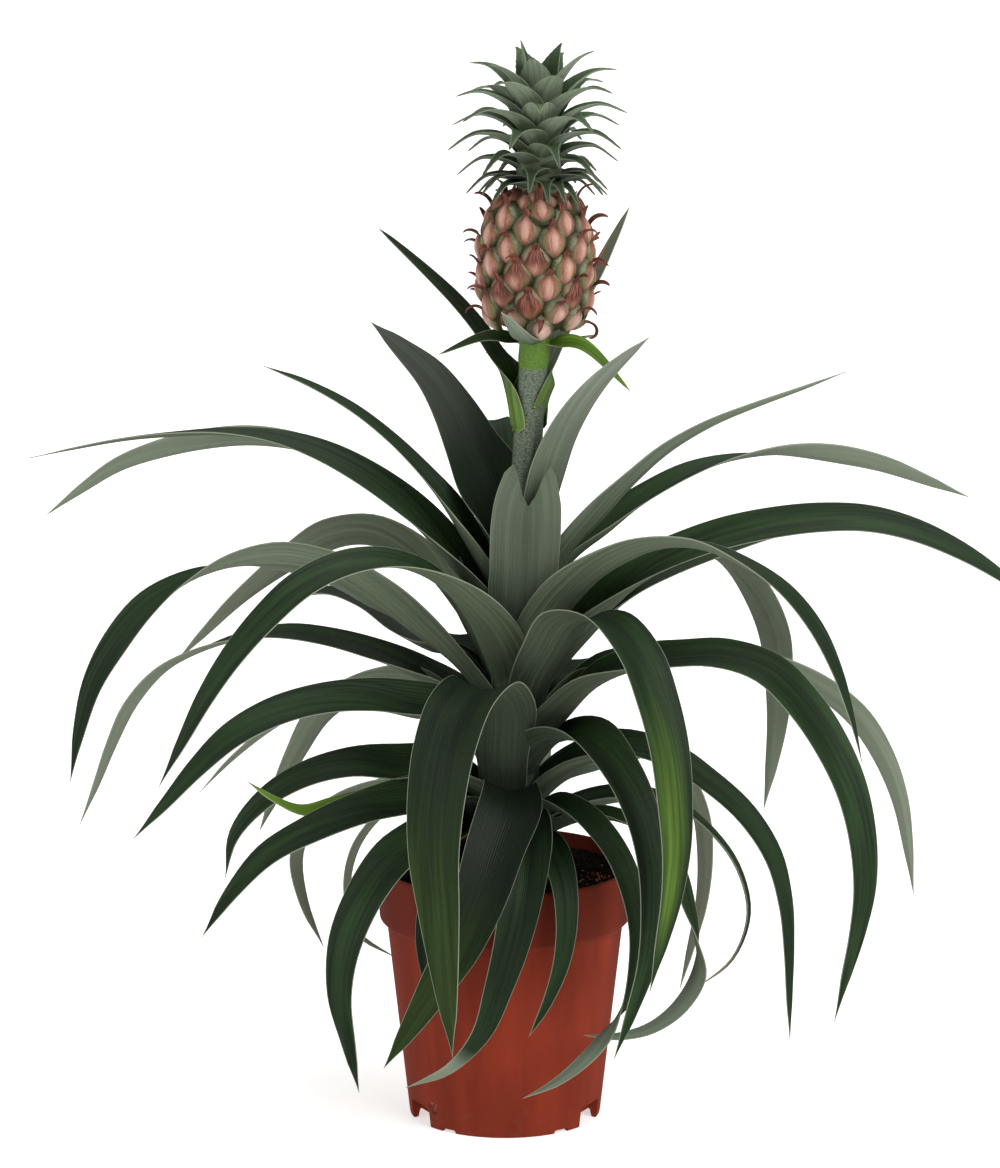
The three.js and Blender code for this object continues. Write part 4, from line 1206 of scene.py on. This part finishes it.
spots, turns = [], []
facts = {"size": [], "kind": [], "shade": [], "low": []}
chance = random.Random(23)
for k in range(berries + stunted_berries):
    share = first_berry + (last_berry - first_berry) * (k + 0.5) / berries
    if k >= berries:
        share = last_berry + (last_stunted - last_berry) * (k + 0.5 - berries) / stunted_berries
    radius, height, slope = outline_point(share)
    out = Vector((math.sin(slope), 0, -math.cos(slope)))
    up = Vector((math.cos(slope), 0, math.sin(slope)))
    facing = Matrix((up.cross(out), up, out)).transposed()
    spin = Matrix.Rotation(math.radians(k * golden_turn), 3, "Z")
    uneven = Vector([chance.uniform(-berry_scatter, berry_scatter) for axis in "xyz"])
    spots.append((fruit_centre + spin @ Vector((radius, 0, height)) + uneven) * mm)
    turns.extend((spin @ facing).to_euler())
    at_an_end = share > top_berries or share < end_berries
    facts["size"].append(0.9 + 0.1 * math.sin(math.pi * share) if k < berries else stunted_size)
    facts["kind"].append(chance.choice(end_kinds) if at_an_end else chance.randrange(middle_kinds))
    facts["shade"].append(chance.random())
    facts["low"].append(ease(share, 0.3, 0.12))
points = bpy.data.meshes.new("berry points")
points.from_pydata(spots, [], [])
store(points, "turn", turns, kind="FLOAT_VECTOR")
for label, numbers in facts.items():
    store(points, label, numbers, kind="INT" if label == "kind" else "FLOAT")
fruit = placed("fruit_berries", points)
spiral, spiral_inputs = geometry_tree("spiral of berries", {
    "Points": "Geometry", "Family": "Collection", "Size": "Float", "Material": "Material"},
    berries_on_points)
grown(fruit, spiral, spiral_inputs, {
    "Family": family, "Size": 1.0, "Material": finish("berry skin", berry_skin)})
belongs(fruit, "fruit", "fruit")
for berry in list(family.objects):
    bpy.data.objects.remove(berry)
bpy.data.collections.remove(family)

core_outline = [(r * mm, (fruit_centre.z + z) * mm) for r, z in fruit_outline]
core = turned("fruit_core", core_outline, fruit_sides, centre=(fruit_centre.x * mm, 0, 0))
belongs(placed("fruit_core", core, finish("fruit core", core_skin)), "fruit")


# ---- Crown ----------------------------------------------------------------------------------
# A tuft of short stiff leaves on top of the fruit. Their broad feet wrap the crown's heart, and
# their thin tails arch out and droop. The lowest are dark, and the top ones pale and upright.

crown_centre = Vector((15.4, 0, 439.4))
crown_outline = [(0, 0), (9.5, 0), (10.5, 7), (10, 20), (8, 38), (5, 52), (0, 60)]
crown_sides = 40
crown_leaves = 44
small_leaves = 10
small_span = 0.12
lowest_foot = 2
highest_foot = 42
first_turn = 20
crown_rows = 24
least_length = 22
most_gain = 16
foot_half_width = 5.8
foot_half_gain = 1.8
tail_half_width = 1.8
tail_droop = 3.5


def crown_chance(seed):
    """Random numbers from 0 to 1, the same in every run."""
    state = seed
    while True:
        state = (state * 1664525 + 1013904223) % 4294967296
        yield state / 4294967296


def crown_skin(wire):
    """Like the long leaves, but paler on the underside, with dry tips."""
    run, reach, upper, along, tone, inset = (
        wire.attribute(name) for name in ("run", "reach", "upper", "along", "tone", "inset"))
    stretched = wire.vector(reach * 900, run * 30, tone * 40)
    streaks = wire.grain(stretched, 1.0, 4, 0.6)
    back = streaks.ramp(0.35, 0.7).paint("9aa692", "77856c")
    back = (along.ramp(0.35, 0.0) * 0.45).paint("5f803e", back)
    front = streaks.ramp(0.35, 0.7).paint("556b4b", "374c31")
    colour = upper.paint(front, back)
    colour = (tone * 0.75).paint("2b3726", colour)
    colour = (inset.ramp(0.6 * mm, 0.2 * mm) * 0.4).paint("8d987f", colour)
    colour = (along.ramp(0.92, 1.0) * 0.8).paint("4a3a2c", colour)
    return {
        "Base Color": colour,
        "Roughness": 0.55,
        "Specular IOR Level": 0.3,
        "Normal": wire.bump(streaks, 0.25, 0.4 * mm),
    }


def crown_leaf(number, share, turn, chance):
    """A leaf of the crown, from the lowest, where share is 0, to the highest, where it is 1."""
    height = lowest_foot + (highest_foot - lowest_foot) * share ** 1.1
    core_radius = read_table(crown_outline[1:], height) - 2.5
    scatter = 0.88 + 0.18 * next(chance)
    length = scatter * (least_length + most_gain * math.sin(math.pi * share * 0.75))
    out = length * (1 - 0.88 * share ** 7)
    up = length * (-0.04 + 0.94 * share ** 1.3)
    broad = foot_half_width + foot_half_gain * ease(share, 0, 0.5)
    radial = direction(math.radians(turn))
    side = Vector((-radial.y, radial.x, 0))

    def at(distance, climb):
        return crown_centre + radial * (core_radius + distance) + Vector((0, 0, height + climb))

    climb = 2 + 9 * ease(share, 0, 0.5)
    arch = out * (0.36 - 0.18 * share)
    corners = [at(0, -1), at(1.5, climb), at(out * 0.62, up * 0.8 + arch), at(out, up)]
    line = []
    for k in range(crown_rows + 1):
        t = k / crown_rows
        weights = ((1 - t) ** 3, 3 * t * (1 - t) ** 2, 3 * t * t * (1 - t), t ** 3)
        droop = tail_droop * ease(t, 0.65, 1.0) * (1 - share ** 3)
        bent = (corner * weight for corner, weight in zip(corners, weights))
        line.append(sum(bent, Vector((0, 0, -droop))))
    centres, lefts, rights = [], [], []
    for k, spot in enumerate(line):
        t = k / crown_rows
        narrowing = ease(t, 0.25 + 0.1 * share, 0.85 + 0.15 * share)
        half = (broad + (tail_half_width - broad) * narrowing) * (1 - t ** 4) ** 0.8 + 0.2
        ahead = (line[min(k + 1, crown_rows)] - line[max(k - 1, 0)]).normalized()
        hollow = ahead.cross(side).normalized() * half * (0.45 - 0.2 * t)
        centres.append(spot * mm)
        lefts.append((spot + side * half + hollow) * mm)
        rights.append((spot - side * half + hollow) * mm)
    mesh = blade_mesh("crown leaf", centres, lefts, rights, rib=0.9 * mm, edge=0.4 * mm, seed=number,
                      wave=0.2 * mm, teeth=0.3 * mm)
    mark(mesh, tone=ease(share, 0.7, 0.08))
    return mesh


chance = crown_chance(37)
tuft = bmesh.new()
crown_facts = ("along", "run", "reach", "inset", "upper", "tone")
for label in crown_facts:
    tuft.verts.layers.float.new(label)
shares = [k / (crown_leaves - 1) for k in range(crown_leaves)]
shares += [small_span * k / small_leaves for k in range(small_leaves)]
for k, share in enumerate(shares):
    leaf = crown_leaf(k, share, first_turn + k * golden_turn, chance)
    tuft.from_mesh(leaf)
    bpy.data.meshes.remove(leaf)
crown_finish = finish("crown leaf", crown_skin)
belongs(placed("crown_leaves", meshed("crown", tuft, sharp_angle=60), crown_finish), "crown", "crown")

heart_outline = [*crown_outline[:-2], (4, 46), (0, 50)]
heart = turned("crown_heart", [(r * mm, (crown_centre.z + z) * mm) for r, z in heart_outline],
               crown_sides, centre=(crown_centre.x * mm, 0, 0))
for label in crown_facts:
    store(heart, label, [1.0 if label == "tone" else 0.0] * len(heart.vertices))
belongs(placed("crown_heart", heart, crown_finish), "crown")
